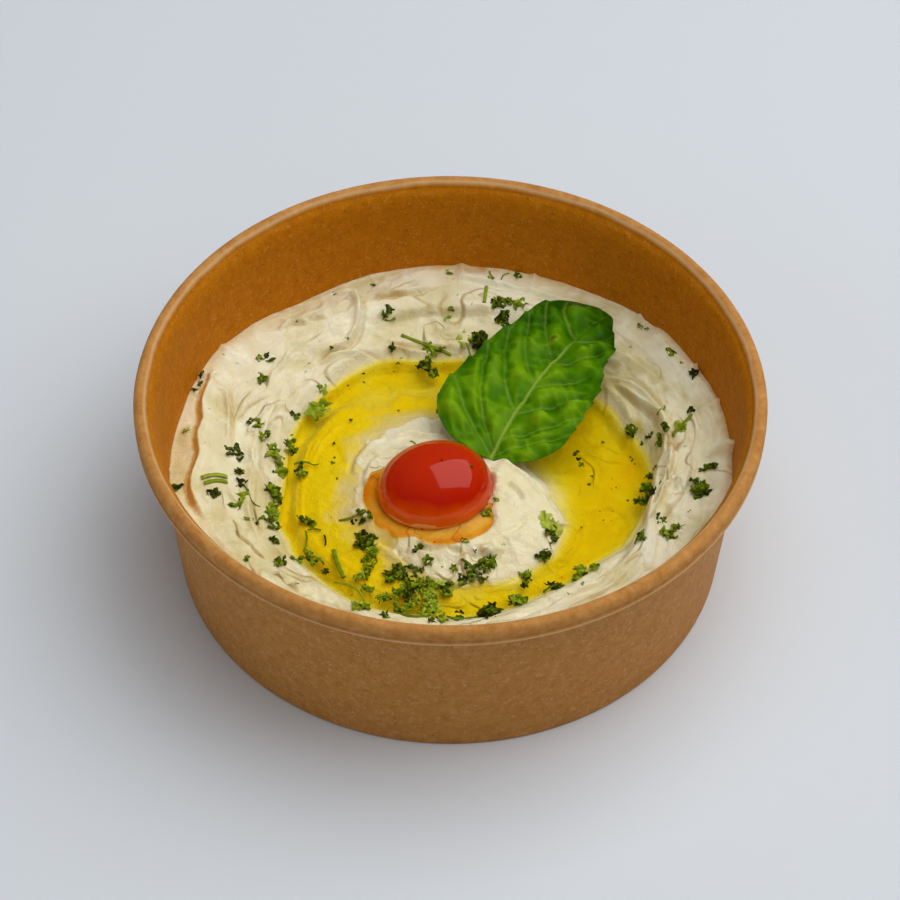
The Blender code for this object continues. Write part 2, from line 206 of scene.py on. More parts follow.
# smears drawn up the paper: degrees, half width in degrees, height in millimetres
SMEARS = (
    (1.6, 1.5, 5.2), (27.0, 0.7, 1.4), (16.0, 1.0, 1.2), (46.0, 1.2, 1.1), (72.0, 1.4, 0.9),
    (88.0, 1.8, 1.0), (147.0, 1.6, 0.9), (156.0, 0.9, 1.2), (182.0, 1.0, 1.3), (228.0, 2.0, 1.0),
    (262.0, 1.6, 0.8), (318.0, 2.2, 0.9), (344.0, 1.6, 1.0),
)

# chopped parsley dropped by the pinch: (degrees, millimetres from the middle, how far the pinch
# spreads, bits, size of a bit in millimetres, tone from bruised 0 to bright 1)
PINCHES = (
    # ring, left
    (143, 58, 1.6, 3, 3.0, 0.3), (148, 55, 0.8, 2, 2.4, 0.2), (162, 50, 1.8, 4, 3.0, 0.3),
    (166, 47, 1.2, 2, 3.2, 0.4), (165, 40, 2.2, 6, 2.8, 0.3), (176, 41, 1.8, 4, 3.6, 0.3),
    (175, 53, 2.2, 7, 2.9, 0.1), (181, 51, 1.2, 3, 2.6, 0.1), (185, 51, 1.0, 3, 2.4, 0.0),
    (191, 51, 1.5, 3, 4.0, 0.5), (191, 57, 1.4, 3, 2.8, 0.1), (194, 53, 1.4, 3, 3.2, 0.4),
    (200, 49, 2.4, 4, 2.2, 0.2), (196, 44, 1.8, 5, 3.4, 0.4), (188, 43, 2.0, 6, 3.4, 0.2),
    (202, 45, 1.8, 5, 2.6, 0.3), (209, 47, 1.4, 4, 2.4, 0.2), (216, 50, 1.6, 4, 2.6, 0.3),
    (213, 57, 0.8, 2, 2.0, 0.1), (187, 67, 0.6, 2, 3.2, 0.1), (158, 66, 2.6, 4, 2.2, 0.1),
    (171, 65, 0.5, 1, 2.0, 0.4), (137, 43, 1.2, 2, 2.4, 0.6), (153, 43, 1.6, 3, 2.2, 0.4),
    # pool, left
    (177, 36, 2.4, 6, 3.0, 0.4), (202, 37, 1.2, 3, 2.6, 0.2), (218, 42, 2.4, 6, 2.8, 0.3),
    (226, 42, 0.8, 2, 2.2, 0.1), (217, 45, 1.4, 3, 2.6, 0.4),
    # mound, left and front
    (219, 27, 2.2, 5, 3.0, 0.2), (226, 30, 2.4, 8, 3.4, 0.1), (233, 33, 2.6, 7, 3.2, 0.5),
    (237, 37, 2.4, 5, 2.8, 0.5), (253, 26, 0.6, 2, 3.4, 0.1), (278, 24, 0.9, 2, 2.8, 0.6),
    (301, 17, 1.6, 4, 2.6, 0.4), (249, 31, 2.4, 6, 3.0, 0.3), (257, 30, 2.2, 5, 2.8, 0.3),
    # on the tomato and by it
    (257, 9, 0.3, 1, 1.0, 0.1), (301, 10, 0.3, 1, 1.2, 0.2), (315, 16, 0.9, 3, 1.8, 0.5),
    # ring, back
    (107, 55, 1.4, 3, 3.4, 0.3), (108, 64, 0.5, 1, 1.6, 0.0), (91, 65, 1.4, 3, 2.0, 0.5),
    (90, 54, 1.8, 2, 2.2, 0.5), (96, 43, 2.2, 5, 2.8, 0.3), (77, 56, 2.2, 6, 3.0, 0.2),
    (73, 57, 1.2, 3, 3.2, 0.5), (75, 52, 2.0, 8, 2.8, 0.2), (81, 45, 2.0, 8, 3.4, 0.0),
    (86, 45, 0.6, 1, 5.0, 0.7), (76, 68, 1.0, 3, 3.4, 0.4), (81, 63, 0.6, 1, 1.8, 0.4),
    # pool, back
    (109, 45, 0.8, 1, 2.8, 0.1), (100, 39, 2.0, 7, 3.0, 0.1), (97, 36, 1.2, 3, 2.4, 0.2),
    # ring, right
    (44, 66, 1.6, 3, 1.8, 0.2), (33, 65, 0.8, 2, 3.0, 0.4), (25, 66, 0.6, 2, 2.6, 0.1),
    (21, 48, 1.8, 4, 3.2, 0.2), (15, 50, 1.6, 3, 2.2, 0.2), (10, 52, 1.6, 6, 3.0, 0.3),
    (12, 57, 1.4, 3, 3.8, 0.4), (16, 61, 0.6, 1, 2.0, 0.1), (2, 49, 0.9, 3, 2.6, 0.3),
    (357, 47, 1.8, 7, 2.8, 0.3), (351, 48, 2.0, 8, 2.9, 0.2), (359, 62, 1.8, 3, 2.8, 0.3),
    (352, 60, 2.4, 7, 3.8, 0.3), (340, 53, 1.6, 3, 2.4, 0.2), (338, 57, 1.8, 5, 4.0, 0.4),
    (333, 51, 1.2, 4, 2.6, 0.3), (13, 32, 2.4, 3, 1.8, 0.1),
    # front: the heap by the mound and the run along the shore
    (247, 35, 2.6, 6, 2.8, 0.3), (254, 36, 3.0, 8, 3.0, 0.2), (260, 36, 3.0, 7, 3.2, 0.4),
    (265, 38, 3.0, 8, 3.0, 0.5), (262, 41, 3.0, 8, 3.0, 0.5), (256, 42, 2.8, 7, 2.6, 0.3),
    (249, 41, 2.6, 5, 2.6, 0.4), (268, 34, 2.2, 6, 2.8, 0.4), (275, 31, 2.2, 5, 2.6, 0.2),
    (283, 32, 2.4, 8, 3.2, 0.2), (289, 30, 1.6, 5, 3.4, 0.4), (262, 33, 2.4, 6, 2.8, 0.3),
    (325, 30, 1.4, 3, 4.4, 0.9), (320, 32, 1.8, 6, 2.8, 0.2), (312, 33, 1.8, 6, 2.8, 0.3),
    (301, 36, 1.4, 5, 3.2, 0.4), (298, 38, 1.0, 2, 2.4, 0.3), (293, 42, 1.8, 7, 3.0, 0.4),
    (284, 43, 1.8, 6, 3.0, 0.2), (281, 44, 1.8, 11, 3.6, 0.0), (273, 44, 1.8, 5, 2.6, 0.2),
    (306, 42, 1.6, 4, 2.4, 0.1), (316, 43, 1.8, 7, 3.0, 0.4), (320, 45, 1.0, 3, 2.8, 0.6),
    (268, 46, 0.7, 2, 3.4, 0.4), (265, 47, 0.6, 2, 2.2, 0.2), (252, 48, 1.0, 3, 2.6, 0.3),
    (244, 46, 2.0, 5, 3.2, 0.6), (306, 50, 0.8, 2, 2.4, 0.6), (240, 40, 2.2, 4, 2.4, 0.3),
)

# whole parsley leaflets: degrees, millimetres from the middle, size, tone
LEAFLETS = (
    (145, 40.5, 7.0, 0.62), (171, 42.5, 6.0, 0.60), (325, 28.5, 5.2, 0.80),
    (338, 56.0, 5.0, 0.45), (351, 61.0, 4.6, 0.30), (244, 47.0, 4.6, 0.70),
    (293, 42.5, 4.6, 0.45), (264, 41.5, 4.8, 0.75), (187, 42.5, 4.8, 0.35),
)

# cut stems and chives: degrees, millimetres from the middle, heading in degrees, length, bow,
# thickness in millimetres, tone
STEMS = (
    (184.8, 56.8, 20, 6.4, 0.1, 1.25, 0.7), (186.3, 56.5, 22, 5.8, 0.1, 1.2, 0.55),
    (226.5, 38.0, 287, 8.8, -0.2, 1.25, 0.45), (210.5, 40.0, 268, 6.4, 0.5, 0.6, 0.4),
    (207.5, 36.4, 0, 3.2, 0.4, 0.5, 0.3), (214.0, 35.8, 276, 3.2, 0.2, 0.5, 0.0),
    (172.5, 36.2, 6, 4.0, 0.5, 0.7, 0.5), (171.5, 33.4, 350, 2.4, -0.6, 0.4, 0.2),
    (191.0, 47.8, 301, 5.6, -0.8, 0.4, 0.2), (187.4, 49.6, 290, 4.2, 0.4, 0.5, 0.3),
    (212.6, 27.6, 2, 6.4, -0.4, 0.7, 0.4), (237.0, 43.0, 322, 9.0, 1.6, 0.7, 0.6),
    (249.0, 40.6, 2, 5.6, 0.8, 0.6, 0.5), (259.4, 44.8, 3, 7.6, -1.6, 0.8, 0.3),
    (255.0, 41.6, 296, 7.0, -1.2, 0.6, 0.4), (138.6, 11.8, 296, 3.2, 0.4, 0.5, 0.4),
    (98.0, 44.6, 338, 13.4, -0.3, 1.0, 0.5), (81.6, 58.2, 84, 5.6, 0.0, 1.0, 0.6),
    (81.0, 64.6, 112, 3.2, 0.3, 0.5, 0.4), (78.0, 64.8, 55, 3.4, 0.4, 0.5, 0.5),
    (83.6, 42.0, 288, 4.2, 0.2, 0.6, 0.6), (77.0, 57.0, 296, 3.4, 0.4, 0.6, 0.4),
    (72.6, 57.2, 56, 3.8, 0.3, 0.8, 0.5), (19.0, 54.4, 62, 4.4, -0.6, 0.6, 0.5),
    (12.6, 57.8, 50, 7.6, 0.3, 0.9, 0.4), (25.0, 66.4, 60, 3.6, 0.2, 0.4, 0.1),
    (333.6, 50.4, 61, 4.6, 0.3, 0.6, 0.3), (274.0, 43.8, 357, 7.0, -0.5, 0.7, 0.3),
    (280.0, 30.8, 315, 6.6, 0.5, 0.8, 0.2), (305.6, 42.2, 32, 5.2, 0.5, 0.7, 0.2),
)

# greens of chopped herb, from bruised to bright
GREENS = ((0.0, "#282C02"), (0.25, "#4E5E04"), (0.5, "#768A0A"), (0.75, "#94A41E"), (1.0, "#B8C44E"))

# basil leaf, as in the solids
LEAF_FROM = (9.5 * MM, 0.6 * MM)
LEAF_BEND = (20.5 * MM, 27.3 * MM)
LEAF_TO = (39.6 * MM, 49.2 * MM)
LEAF_LEFT = ((0.0, 19.0), (0.25, 19.0), (0.5, 17.0), (0.75, 14.5), (1.0, 11.8))
LEAF_RIGHT = ((0.0, 15.5), (0.25, 16.0), (0.5, 15.6), (0.75, 10.8), (1.0, 4.0))
LEAF_SPREAD = 18.4 * MM
LEAF_CUP = 2.4 * MM
LEAF_RISE = ((0.0, 26.9), (0.3, 29.0), (0.62, 30.0), (0.85, 29.6), (1.0, 28.0))
LEAF_LENGTH = 58.0
# side veins: where each leaves the midrib and how far it runs forward, as parts of the length
LEFT_VEINS = ((0.02, 0.30), (0.05, 0.50), (0.27, 0.40), (0.44, 0.34), (0.60, 0.27), (0.76, 0.18))
RIGHT_VEINS = ((0.03, 0.20), (0.11, 0.24), (0.26, 0.26), (0.42, 0.25), (0.58, 0.22), (0.74, 0.16))


# ---------------------------------------------------------------- colours and shader nodes


def paint(code):
    """Linear colour of an sRGB hex code."""
    channels = [int(code[i:i + 2], 16) / 255.0 for i in (1, 3, 5)]
    linear = [c / 12.92 if c <= 0.04045 else ((c + 0.055) / 1.055) ** 2.4 for c in channels]
    return (*linear, 1.0)


def node(tree, kind, inputs, **settings):
    """Adds one shader node with its settings, and sets or links its inputs."""
    made = tree.nodes.new(kind)
    for name, value in settings.items():
        setattr(made, name, value)
    for name, value in inputs.items():
        if isinstance(value, bpy.types.NodeSocket):
            tree.links.new(value, made.inputs[name])
        else:
            made.inputs[name].default_value = value
    return made


def finish_named(name):
    """A new material, emptied, with its tree, output and object coordinates."""
    made = bpy.data.materials.new(name)
    made.use_nodes = True
    tree = made.node_tree
    tree.nodes.clear()
    output = node(tree, "ShaderNodeOutputMaterial", {})
    place = node(tree, "ShaderNodeTexCoord", {}).outputs["Object"]
    return made, tree, output, place


def ramp(tree, factor, *stops):
    """Runs a value through colours, each at its place between 0 and 1."""
    made = node(tree, "ShaderNodeValToRGB", {"Fac": factor})
    elements = made.color_ramp.elements
    while len(elements) < len(stops):
        elements.new(0.5)
    for element, (at, colour) in zip(elements, stops):
        element.position = at
        element.color = colour
    return made.outputs["Color"]


def grey(value):
    return (value, value, value, 1.0)


def kraft_paper(name, dark, light, fleck, roughness, shine):
    """Unbleached kraft board, pressed from wood pulp: brown, cloudy at 6 mm, with fine pale
    fibres 1 to 2 mm long that lie every way, and dark specks of bark. Where it is rolled over
    the rim the stretched board is paler."""
    made, tree, output, place = finish_named(name)
    cloud = node(tree, "ShaderNodeTexNoise", {
        "Vector": place, "Scale": 380.0, "Detail": 5.0, "Roughness": 0.7})
    pulp = ramp(tree, cloud.outputs["Fac"], (0.30, paint(dark)), (0.72, paint(light)))
    bent = node(tree, "ShaderNodeTexNoise", {"Vector": place, "Scale": 700.0, "Detail": 2.0})
    drift = node(tree, "ShaderNodeVectorMath", {
        0: bent.outputs["Color"], 1: (0.0014, 0.0014, 0.0014)}, operation="MULTIPLY")
    curled = node(tree, "ShaderNodeVectorMath", {
        0: place, 1: drift.outputs["Vector"]}, operation="ADD")
    fibre = node(tree, "ShaderNodeTexVoronoi", {
        "Vector": curled.outputs["Vector"], "Scale": 1100.0}, feature="DISTANCE_TO_EDGE")
    patch = node(tree, "ShaderNodeTexNoise", {"Vector": place, "Scale": 900.0, "Detail": 2.0})
    thread = ramp(tree, fibre.outputs["Distance"], (0.0, grey(1.0)), (0.12, grey(0.0)))
    where = ramp(tree, patch.outputs["Fac"], (0.52, grey(0.0)), (0.68, grey(0.55)))
    share = node(tree, "ShaderNodeMath", {0: thread, 1: where}, operation="MULTIPLY")
    fibred = node(tree, "ShaderNodeMix", {
        "Factor": share.outputs["Value"], "A": pulp, "B": paint(fleck)}, data_type="RGBA")
    bark = node(tree, "ShaderNodeTexNoise", {"Vector": place, "Scale": 1700.0, "Detail": 1.0})
    specks = ramp(tree, bark.outputs["Fac"], (0.27, grey(0.45)), (0.34, grey(0.0)))
    flecked = node(tree, "ShaderNodeMix", {
        "Factor": specks, "A": fibred.outputs["Result"], "B": paint("#4A2A0C")},
        data_type="RGBA")
    crown = node(tree, "ShaderNodeAttribute", {}, attribute_name="crown")
    pale = ramp(tree, cloud.outputs["Fac"], (0.30, paint("#B27432")), (0.70, paint("#D29854")))
    paled = node(tree, "ShaderNodeMix", {
        "Factor": crown.outputs["Fac"], "A": flecked.outputs["Result"], "B": pale},
        data_type="RGBA")
    cut = node(tree, "ShaderNodeAttribute", {}, attribute_name="cut")
    edged = node(tree, "ShaderNodeMix", {
        "Factor": cut.outputs["Fac"], "A": paled.outputs["Result"], "B": paint("#E4BE8A")},
        data_type="RGBA")
    grain = node(tree, "ShaderNodeTexNoise", {
        "Vector": place, "Scale": 2600.0, "Detail": 3.0, "Roughness": 0.7})
    tooth = node(tree, "ShaderNodeBump", {
        "Height": grain.outputs["Fac"], "Strength": 0.35, "Distance": 0.00012})
    uneven = node(tree, "ShaderNodeMapRange", {
        "Value": grain.outputs["Fac"], "To Min": roughness - 0.08, "To Max": roughness + 0.08})
    paper = node(tree, "ShaderNodeBsdfPrincipled", {
        "Base Color": edged.outputs["Result"], "Roughness": uneven.outputs["Result"],
        "IOR": 1.5, "Specular IOR Level": shine, "Normal": tooth.outputs["Normal"]})
    tree.links.new(paper.outputs["BSDF"], output.inputs["Surface"])
    return made


def whipped_hummus(name):
    """Chickpeas and tahini whipped to a paste and spread: cream, soft at the edges where
    light goes in, satin with fine grain, yellower where oil has gone in, and amber where it
    has run into the creases. Painted light and shade are in its colour too: whiter cream at the
    back and front right, thin lines under the ledges, yellow in hollows and on slopes turned
    from the light, and amber along the paper."""
    made, tree, output, place = finish_named(name)
    cloud = node(tree, "ShaderNodeTexNoise", {
        "Vector": place, "Scale": 120.0, "Detail": 4.0, "Roughness": 0.6})
    cream = ramp(tree, cloud.outputs["Fac"], (0.30, paint("#F0E4B0")), (0.70, paint("#FBF4D0")))
    whiter = ramp(tree, cloud.outputs["Fac"], (0.30, paint("#F5EBC6")), (0.70, paint("#FFFADE")))
    # painted light: the cream is whiter at the back and at the front right, so that those parts of the ring look
    # better lit
    backward = node(tree, "ShaderNodeVectorMath", {
        0: place, 1: (0.02, 0.95, 0.0)}, operation="DOT_PRODUCT")
    back = node(tree, "ShaderNodeMapRange", {
        "Value": backward.outputs["Value"], "From Min": -0.005, "From Max": 0.03})
    forward = node(tree, "ShaderNodeVectorMath", {
        0: place, 1: (0.58, -0.81, 0.0)}, operation="DOT_PRODUCT")
    front = node(tree, "ShaderNodeMapRange", {
        "Value": forward.outputs["Value"], "From Min": 0.028, "From Max": 0.048})
    painted_light_share = node(tree, "ShaderNodeMath", {
        0: back.outputs["Result"], 1: front.outputs["Result"]}, operation="MAXIMUM")
    cream = node(tree, "ShaderNodeMix", {
        "Factor": painted_light_share.outputs["Value"], "A": cream, "B": whiter},
        data_type="RGBA").outputs["Result"]
    # each smear of paste ends in a thin ledge round the dish, with a thin tan line of painted shade under it
    flat = node(tree, "ShaderNodeVectorMath", {0: place, 1: (1.0, 1.0, 0.0)}, operation="MULTIPLY")
    way = node(tree, "ShaderNodeVectorMath", {0: flat.outputs["Vector"]}, operation="NORMALIZE")
    out = node(tree, "ShaderNodeVectorMath", {0: flat.outputs["Vector"]}, operation="LENGTH")
    outward = node(tree, "ShaderNodeCombineXYZ", {"Z": out.outputs["Value"]})
    swirl = node(tree, "ShaderNodeVectorMath", {
        0: way.outputs["Vector"], 1: (0.024, 0.024, 0.0), 2: outward.outputs["Vector"]},
        operation="MULTIPLY_ADD")
    smear = node(tree, "ShaderNodeTexNoise", {
        "Vector": swirl.outputs["Vector"], "Scale": 95.0, "Detail": 1.6, "Roughness": 0.45,
        "Distortion": 0.7})
    laps = node(tree, "ShaderNodeMath", {0: smear.outputs["Fac"], 1: 6.0}, operation="MULTIPLY")
    lap = node(tree, "ShaderNodeMath", {0: laps.outputs["Value"]}, operation="FRACT")
    ledge = ramp(tree, lap.outputs["Value"], (0.0, grey(0.0)), (0.72, grey(1.0)), (0.95, grey(0.0)))
    under = ramp(tree, lap.outputs["Value"], (0.76, grey(0.0)), (0.90, grey(1.0)), (1.0, grey(0.0)))
    lapped = node(tree, "ShaderNodeTexNoise", {"Vector": place, "Scale": 62.0, "Detail": 1.0})
    patches = ramp(tree, lapped.outputs["Fac"], (0.46, grey(0.0)), (0.60, grey(1.0)))
    drowned = node(tree, "ShaderNodeAttribute", {}, attribute_name="filmed")
    dry = node(tree, "ShaderNodeMapRange", {
        "Value": drowned.outputs["Fac"], "From Max": 0.3, "To Min": 1.0, "To Max": 0.0})
    some = node(tree, "ShaderNodeMath", {
        0: patches, 1: dry.outputs["Result"]}, operation="MULTIPLY").outputs["Value"]
    tan = node(tree, "ShaderNodeMath", {0: under, 1: some}, operation="MULTIPLY")
    tanned = node(tree, "ShaderNodeMath", {0: tan.outputs["Value"], 1: 0.8}, operation="MULTIPLY")
    cream = node(tree, "ShaderNodeMix", {
        "Factor": tanned.outputs["Value"], "A": cream, "B": paint("#BE9A4C")},
        data_type="RGBA").outputs["Result"]
    soak_and_shade_value = node(tree, "ShaderNodeAttribute", {}, attribute_name="soaked_and_shaded")
    yellowed = node(tree, "ShaderNodeMix", {
        "Factor": soak_and_shade_value.outputs["Fac"], "A": cream, "B": paint("#CCBB64")}, data_type="RGBA")
    stain_and_shade = node(tree, "ShaderNodeAttribute", {}, attribute_name="stain_and_shade")
    spread = node(tree, "ShaderNodeTexNoise", {"Vector": place, "Scale": 500.0, "Detail": 2.0})
    uneven = node(tree, "ShaderNodeMapRange", {
        "Value": spread.outputs["Fac"], "From Min": 0.3, "From Max": 0.65, "To Min": 0.35})
    run_in = node(tree, "ShaderNodeMath", {
        0: stain_and_shade.outputs["Fac"], 1: uneven.outputs["Result"]}, operation="MULTIPLY")
    amber = node(tree, "ShaderNodeMix", {
        "Factor": run_in.outputs["Value"], "A": yellowed.outputs["Result"],
        "B": paint("#DCAC54")}, data_type="RGBA")
    oily = node(tree, "ShaderNodeAttribute", {}, attribute_name="oiled")
    film = node(tree, "ShaderNodeMix", {
        "Factor": oily.outputs["Fac"], "A": amber.outputs["Result"], "B": paint("#F4E6BC")},
        data_type="RGBA")
    filmed = node(tree, "ShaderNodeAttribute", {}, attribute_name="filmed")
    pooled = ramp(tree, filmed.outputs["Fac"], (0.36, paint("#ECD888")), (0.8, paint("#FEDF08")))
    cover = node(tree, "ShaderNodeMapRange", {"Value": filmed.outputs["Fac"], "From Max": 0.32})
    under_oil = node(tree, "ShaderNodeMix", {
        "Factor": cover.outputs["Result"], "A": film.outputs["Result"], "B": pooled},
        data_type="RGBA")
    grain = node(tree, "ShaderNodeTexNoise", {
        "Vector": place, "Scale": 1500.0, "Detail": 4.0, "Roughness": 0.6})
    pits = node(tree, "ShaderNodeTexVoronoi", {"Vector": place, "Scale": 520.0})
    pitted = node(tree, "ShaderNodeMapRange", {
        "Value": pits.outputs["Distance"], "From Max": 0.22, "To Min": 0.0, "To Max": 0.4})
    relief = node(tree, "ShaderNodeMath", {
        0: grain.outputs["Fac"], 1: pitted.outputs["Result"]}, operation="ADD")
    paste = node(tree, "ShaderNodeBump", {
        "Height": relief.outputs["Value"], "Strength": 0.35, "Distance": 0.00022})
    wetter = node(tree, "ShaderNodeMath", {
        0: filmed.outputs["Fac"], 1: 3.0, 2: oily.outputs["Fac"]}, operation="MULTIPLY_ADD")
    drag = node(tree, "ShaderNodeTexNoise", {
        "Vector": place, "Scale": 300.0, "Detail": 5.0, "Roughness": 0.62, "Distortion": 1.6})
    dragged = node(tree, "ShaderNodeBump", {
        "Height": drag.outputs["Fac"], "Strength": 0.55, "Distance": 0.0011,
        "Normal": paste.outputs["Normal"]})
    raised = node(tree, "ShaderNodeMath", {0: ledge, 1: some}, operation="MULTIPLY")
    spread_on = node(tree, "ShaderNodeBump", {
        "Height": raised.outputs["Value"], "Strength": 0.8, "Distance": 0.0008,
        "Normal": dragged.outputs["Normal"]})
    satin = node(tree, "ShaderNodeMapRange", {
        "Value": wetter.outputs["Value"], "To Min": 0.33, "To Max": 0.14})
    body = node(tree, "ShaderNodeBsdfPrincipled", {
        "Base Color": under_oil.outputs["Result"], "Roughness": satin.outputs["Result"],
        "IOR": 1.42, "Subsurface Weight": 0.18, "Subsurface Radius": (1.0, 0.75, 0.35),
        "Subsurface Scale": 0.0007, "Normal": spread_on.outputs["Normal"]})
    tree.links.new(body.outputs["BSDF"], output.inputs["Surface"])
    return made


def clear_liquid(name, absorbed, facing_shine, ripple):
    """A clear coloured liquid with a glossy top. Its colour deepens with the depth below each
    point of its top, kept in millimetres on the mesh: light goes down, and comes back up. It is
    a little cloudy, with a few fine dregs. Its underside, where the depth is kept as 0, is seen
    through as if it weren't there."""
    made, tree, output, place = finish_named(name)
    depth = node(tree, "ShaderNodeAttribute", {}, attribute_name="depth")
    cloud = node(tree, "ShaderNodeTexNoise", {
        "Vector": place, "Scale": 110.0, "Detail": 4.0, "Distortion": 1.2})
    cloudy = node(tree, "ShaderNodeMapRange", {
        "Value": cloud.outputs["Fac"], "From Min": 0.3, "From Max": 0.7,
        "To Min": 0.62, "To Max": 1.30})
    dregs = node(tree, "ShaderNodeTexVoronoi", {"Vector": place, "Scale": 330.0})
    dreg = ramp(tree, dregs.outputs["Distance"], (0.05, grey(1.0)), (0.13, grey(0.0)))
    chosen = node(tree, "ShaderNodeSeparateColor", {"Color": dregs.outputs["Color"]})
    few = node(tree, "ShaderNodeMath", {
        0: chosen.outputs["Red"], 1: 0.72}, operation="GREATER_THAN")
    murk = node(tree, "ShaderNodeMath", {0: dreg, 1: few.outputs["Value"]}, operation="MULTIPLY")
    thick = node(tree, "ShaderNodeMath", {
        0: depth.outputs["Fac"], 1: cloudy.outputs["Result"]}, operation="MULTIPLY")
    full = node(tree, "ShaderNodeMath", {
        0: murk.outputs["Value"], 1: 5.0, 2: 1.0}, operation="MULTIPLY_ADD")
    dense = node(tree, "ShaderNodeMath", {
        0: thick.outputs["Value"], 1: full.outputs["Value"]}, operation="MULTIPLY")
    passed = []
    for share in absorbed:
        lost = node(tree, "ShaderNodeMath", {
            0: dense.outputs["Value"], 1: -share}, operation="MULTIPLY")
        passed.append(node(tree, "ShaderNodeMath", {
            0: lost.outputs["Value"]}, operation="EXPONENT").outputs["Value"])
    tint = node(tree, "ShaderNodeCombineColor", {
        "Red": passed[0], "Green": passed[1], "Blue": passed[2]})
    through = node(tree, "ShaderNodeBsdfTransparent", {"Color": tint.outputs["Color"]})
    waves = node(tree, "ShaderNodeTexNoise", {"Vector": place, "Scale": 120.0, "Detail": 1.0})
    still = node(tree, "ShaderNodeBump", {
        "Height": waves.outputs["Fac"], "Strength": 0.2, "Distance": ripple})
    mirror = node(tree, "ShaderNodeBsdfGlossy", {
        "Roughness": 0.04, "Normal": still.outputs["Normal"]})
    facing = node(tree, "ShaderNodeLayerWeight", {
        "Blend": 0.5, "Normal": still.outputs["Normal"]}).outputs["Facing"]
    slant = node(tree, "ShaderNodeMath", {0: facing, 1: 5.0}, operation="POWER")
    shine = node(tree, "ShaderNodeMath", {
        0: slant.outputs["Value"], 1: 1.0 - facing_shine, 2: facing_shine},
        operation="MULTIPLY_ADD")
    on_top = node(tree, "ShaderNodeMath", {0: depth.outputs["Fac"]}, operation="SIGN")
    sheen = node(tree, "ShaderNodeMath", {
        0: shine.outputs["Value"], 1: on_top.outputs["Value"]}, operation="MULTIPLY")
    surface = node(tree, "ShaderNodeMixShader", {
        0: sheen.outputs["Value"], 1: through.outputs["BSDF"], 2: mirror.outputs["BSDF"]})
    tree.links.new(surface.outputs["Shader"], output.inputs["Surface"])
    return made


def tomato_skin(name):
    """Ripe cherry tomato skin: deep red, waxy and smooth, orange where the flesh is thin near
    the cut, with faint paler flecks under the skin."""
    made, tree, output, place = finish_named(name)
    low = node(tree, "ShaderNodeAttribute", {}, attribute_name="height")
    mottle = node(tree, "ShaderNodeTexNoise", {"Vector": place, "Scale": 260.0, "Detail": 3.0})
    uneven = node(tree, "ShaderNodeMath", {
        0: mottle.outputs["Fac"], 1: 0.25, 2: -0.125}, operation="MULTIPLY_ADD")
    level = node(tree, "ShaderNodeMath", {
        0: low.outputs["Fac"], 1: uneven.outputs["Value"]}, operation="ADD")
    skin = ramp(tree, level.outputs["Value"], (0.0, paint("#F2AC6C")), (0.035, paint("#E86614")),
                (0.28, paint("#E64E04")), (0.55, paint("#C21C02")), (0.92, paint("#C42A04")))
    flesh = node(tree, "ShaderNodeBsdfPrincipled", {
        "Base Color": skin, "Roughness": 0.08, "IOR": 1.45, "Specular IOR Level": 0.55,
        "Subsurface Weight": 0.25, "Subsurface Radius": (1.0, 0.25, 0.08),
        "Subsurface Scale": 0.002})
    tree.links.new(flesh.outputs["BSDF"], output.inputs["Surface"])
    return made


def basil_blade(name):
    """Fresh basil: waxy blade, blistered, the midrib and veins pale, with one brown speck. Its
    green is painted light and shade: yellow green on the raised puffs and towards the stalk,
    darker in the hollows, towards its tip and on its right side."""
    made, tree, output, place = finish_named(name)
    patch = node(tree, "ShaderNodeTexNoise", {
        "Vector": place, "Scale": 110.0, "Detail": 5.0, "Roughness": 0.66})
    leaf_light_and_shade = node(tree, "ShaderNodeAttribute", {}, attribute_name="leaf_light_and_shade")
    mixed = node(tree, "ShaderNodeMath", {
        0: patch.outputs["Fac"], 1: 0.26, 2: -0.13}, operation="MULTIPLY_ADD")
    leaf_green_level = node(tree, "ShaderNodeMath", {
        0: leaf_light_and_shade.outputs["Fac"], 1: mixed.outputs["Value"]}, operation="ADD")
    green = ramp(tree, leaf_green_level.outputs["Value"], (0.0, paint("#1E4A00")), (0.45, paint("#457802")),
                 (1.0, paint("#7CA80E")))
    vein = node(tree, "ShaderNodeAttribute", {}, attribute_name="vein")
    veined = node(tree, "ShaderNodeMix", {
        "Factor": vein.outputs["Fac"], "A": green, "B": paint("#8FA83C")}, data_type="RGBA")
    spot = node(tree, "ShaderNodeAttribute", {}, attribute_name="spot")
    marked = node(tree, "ShaderNodeMix", {
        "Factor": spot.outputs["Fac"], "A": veined.outputs["Result"], "B": paint("#6A3A12")},
        data_type="RGBA")
    cells = node(tree, "ShaderNodeTexVoronoi", {"Vector": place, "Scale": 750.0})
    crinkle = node(tree, "ShaderNodeTexNoise", {
        "Vector": place, "Scale": 420.0, "Detail": 4.0, "Roughness": 0.6})
    relief = node(tree, "ShaderNodeMath", {
        0: crinkle.outputs["Fac"], 1: 3.0, 2: cells.outputs["Distance"]},
        operation="MULTIPLY_ADD")
    blister = node(tree, "ShaderNodeBump", {
        "Height": relief.outputs["Value"], "Strength": 0.4, "Distance": 0.00025})
    shine = ramp(tree, patch.outputs["Fac"], (0.34, grey(0.32)), (0.66, grey(0.18)))
    blade = node(tree, "ShaderNodeBsdfPrincipled", {
        "Base Color": marked.outputs["Result"], "Roughness": shine, "IOR": 1.45,
        "Specular IOR Level": 0.07, "Subsurface Weight": 0.06,
        "Subsurface Radius": (0.4, 1.0, 0.15), "Subsurface Scale": 0.0008,
        "Normal": blister.outputs["Normal"]})
    tree.links.new(blade.outputs["BSDF"], output.inputs["Surface"])
    return made


